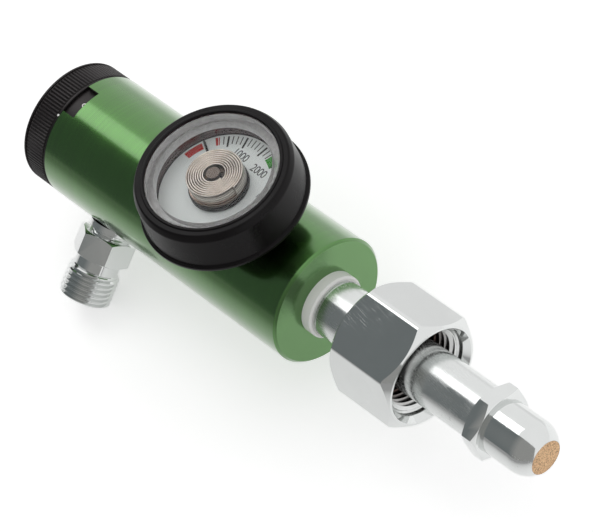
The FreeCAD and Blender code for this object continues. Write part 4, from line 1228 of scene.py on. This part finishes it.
class SetStage(bpy.types.Operator):
    """Lays the pale floor and sets the lamp, the card and the camera"""

    bl_idname = "regulator.set_stage"
    bl_label = "Studio"

    def background_share(self, tree):
        """1 for rays that see, mirror or pass to the background, and 0 for those that gather light."""
        path = add(tree, "ShaderNodeLightPath").outputs
        eyes = {0: path["Is Camera Ray"], 1: path["Is Glossy Ray"]}
        mirrored = add(tree, "ShaderNodeMath", links=eyes, operation="MAXIMUM")
        either = {0: mirrored, 1: path["Is Transmission Ray"]}
        return add(tree, "ShaderNodeMath", links=either, operation="MAXIMUM")

    def floor(self, sizes):
        """Pale paper that looks white; what mirrors it sees painted shade, darker on two sides where the
        light on the paper falls off.
        """
        bpy.ops.object.select_all(action="DESELECT")
        bpy.ops.mesh.primitive_plane_add(size=sizes.floor_size, location=(0, 0, CAD_BOX[0][2] - 0.1 * MM))
        floor = added("studio_floor")
        material, tree, place = started("pale_floor_paper")
        axes = add(tree, "ShaderNodeSeparateXYZ", links={0: place}).outputs
        # Painted shade for reflections only: darker towards the outlet's side, and a little darker on the far
        # side towards the knob's end.
        near = {"From Min": -0.16, "From Max": 0.0, "To Min": 0.34, "To Max": 1.0}
        near_side = add(tree, "ShaderNodeMapRange", near, {"Value": axes["Y"]})
        far = {"From Min": 0.1, "From Max": 0.16, "To Min": 1.0, "To Max": 0.0}
        far_side = add(tree, "ShaderNodeMapRange", far, {"Value": axes["Y"]})
        front = {"From Min": -0.1, "From Max": -0.02}
        front_side = add(tree, "ShaderNodeMapRange", front, {"Value": axes["X"]})
        pale = add(tree, "ShaderNodeMath", links={0: far_side, 1: front_side}, operation="MAXIMUM")
        corner = add(tree, "ShaderNodeMapRange", {"To Min": 0.78}, {"Value": pale})
        mirrored = add(tree, "ShaderNodeMath", links={0: near_side, 1: corner}, operation="MULTIPLY")
        path = add(tree, "ShaderNodeLightPath").outputs["Is Glossy Ray"]
        shade = add(tree, "ShaderNodeMix", {2: 1.0}, {0: path, 3: mirrored})
        tint = add(tree, "ShaderNodeMath", {1: sizes.floor_paper}, {0: shade}, operation="MULTIPLY")
        paper = add(tree, "ShaderNodeBsdfDiffuse", links={"Color": tint})
        shares = {0: shade, 1: self.background_share(tree)}
        seen = add(tree, "ShaderNodeMath", links=shares, operation="MULTIPLY")
        strength = add(tree, "ShaderNodeMath", {1: sizes.floor_glow}, {0: seen}, operation="MULTIPLY")
        glow = add(tree, "ShaderNodeEmission", links={"Strength": strength})
        both = add(tree, "ShaderNodeAddShader", links={0: paper, 1: glow})
        add(tree, "ShaderNodeOutputMaterial", links={"Surface": both})
        floor.data.materials.append(material)

    def sky(self, sizes):
        """Even white air, a little dimmer as a light than as a background."""
        world = bpy.data.worlds.new("studio_air")
        bpy.context.scene.world = world
        world.use_nodes = True
        tree = world.node_tree
        tree.nodes.clear()
        seen = self.background_share(tree)
        strength = add(tree, "ShaderNodeMapRange", {"To Min": sizes.fill, "To Max": 1.0}, {"Value": seen})
        air = add(tree, "ShaderNodeBackground", {"Color": (1.0, 1.0, 1.0, 1.0)}, {"Strength": strength})
        add(tree, "ShaderNodeOutputWorld", links={"Surface": air})

    def softbox(self, sizes):
        """It faces straight down, and its edge over the barrel is the sharp end of the bright band."""
        bpy.ops.object.select_all(action="DESELECT")
        bpy.ops.object.light_add(type="AREA", location=sizes.lamp_place)
        lamp = bpy.context.active_object
        lamp.name = "overhead_softbox"
        lamp.data.shape = "RECTANGLE"
        lamp.data.size = sizes.lamp_length
        lamp.data.size_y = sizes.lamp_width
        lamp.data.energy = sizes.key_power

    def card(self, sizes):
        """A grey card on the outlet's side that only polished surfaces see, paler towards the inlet."""
        bpy.ops.object.select_all(action="DESELECT")
        bpy.ops.mesh.primitive_plane_add(size=1, location=(0, 0, 0))
        bpy.ops.transform.resize(value=(sizes.card_length, 1, 1))
        card = added("outlet_side_card")
        bpy.ops.object.mode_set(mode="EDIT")
        pick("VERT", lambda place: place.y > 0)
        bpy.ops.transform.translate(value=Vector(sizes.card_top) - Vector((0, 0.5, 0)))
        bpy.ops.mesh.select_all(action="INVERT")
        bpy.ops.transform.translate(value=Vector(sizes.card_foot) + Vector((0, 0.5, 0)))
        bpy.ops.object.mode_set(mode="OBJECT")
        material, tree, place = started("grey_card")
        along = add(tree, "ShaderNodeSeparateXYZ", links={0: place}).outputs["X"]
        share = add(tree, "ShaderNodeMapRange", {"From Min": -0.4, "From Max": 0.0}, {"Value": along})
        tints = {6: rgba(sizes.card_dark), 7: rgba(sizes.card_pale)}
        tone = add(tree, "ShaderNodeMix", tints, {0: share}, data_type="RGBA").outputs[2]
        glow = add(tree, "ShaderNodeEmission", links={"Color": tone})
        add(tree, "ShaderNodeOutputMaterial", links={"Surface": glow})
        card.data.materials.append(material)
        card.visible_camera = False
        card.visible_diffuse = False
        card.visible_shadow = False
        card.visible_transmission = False

    def execute(self, context):
        sizes = context.scene.regulator.studio
        self.floor(sizes)
        self.sky(sizes)
        self.softbox(sizes)
        self.card(sizes)
        bpy.ops.object.camera_add(location=sizes.camera_place, rotation=sizes.camera_turn)
        camera = bpy.context.active_object
        camera.data.lens = sizes.camera_lens
        context.scene.camera = camera
        context.scene.view_settings.view_transform = "Standard"
        return {"FINISHED"}


STEPS = (
    FinishBarrel,
    MakeInlet,
    MakeNut,
    MakeOutlet,
    MakeKnob,
    MakeGaugeHousing,
    MakeGaugeFace,
    FinishInside,
    SetStage,
)


class Regulator(bpy.types.PropertyGroup):
    inlet: PointerProperty(type=InletSizes, name="Inlet", description="Sizes of the inlet nipple")
    nut: PointerProperty(type=NutSizes, name="Union nut", description="Sizes of the union nut")
    outlet: PointerProperty(type=OutletSizes, name="Outlet", description="Sizes of the outlet")
    knob: PointerProperty(type=KnobSizes, name="Knob", description="Sizes of the selector knob")
    gauge: PointerProperty(type=GaugeSizes, name="Gauge", description="Sizes of the gauge's housing")
    dial: PointerProperty(type=DialSizes, name="Dial", description="Sizes of the dial and its coil")
    studio: PointerProperty(type=StudioSizes, name="Studio", description="Floor, lamp, card and camera")
    colours: PointerProperty(type=Colours, name="Colours", description="Colours of the finishes")


class RegulatorPanel(bpy.types.Panel):
    """Lists the steps and the sizes of the regulator"""

    bl_idname = "VIEW3D_PT_regulator"
    bl_label = "Oxygen regulator"
    bl_space_type = "VIEW_3D"
    bl_region_type = "UI"
    bl_category = "Regulator"

    def draw(self, context):
        for step in STEPS:
            self.layout.operator(step.bl_idname)
        settings = context.scene.regulator
        for group in settings.bl_rna.properties:
            if group.type != "POINTER" or group.identifier == "rna_type":
                continue
            box = self.layout.box()
            box.label(text=group.name)
            values = getattr(settings, group.identifier)
            for value in values.bl_rna.properties:
                if value.identifier not in ("rna_type", "name"):
                    box.prop(values, value.identifier)


GROUPS = (
    InletSizes, NutSizes, OutletSizes, KnobSizes, GaugeSizes, DialSizes, StudioSizes, Colours, Regulator
)


def register():
    for item in (*GROUPS, *STEPS, RegulatorPanel):
        bpy.utils.register_class(item)
    bpy.types.Scene.regulator = PointerProperty(type=Regulator)


def unregister():
    del bpy.types.Scene.regulator
    for item in reversed((*GROUPS, *STEPS, RegulatorPanel)):
        bpy.utils.unregister_class(item)


def main():
    register()
    bpy.ops.regulator.finish_barrel()
    bpy.ops.regulator.make_inlet()
    bpy.ops.regulator.make_nut()
    bpy.ops.regulator.make_outlet()
    bpy.ops.regulator.make_knob()
    bpy.ops.regulator.make_gauge_housing()
    bpy.ops.regulator.make_gauge_face()
    bpy.ops.regulator.finish_inside()
    bpy.ops.regulator.set_stage()


if __name__ == "__main__":
    main()
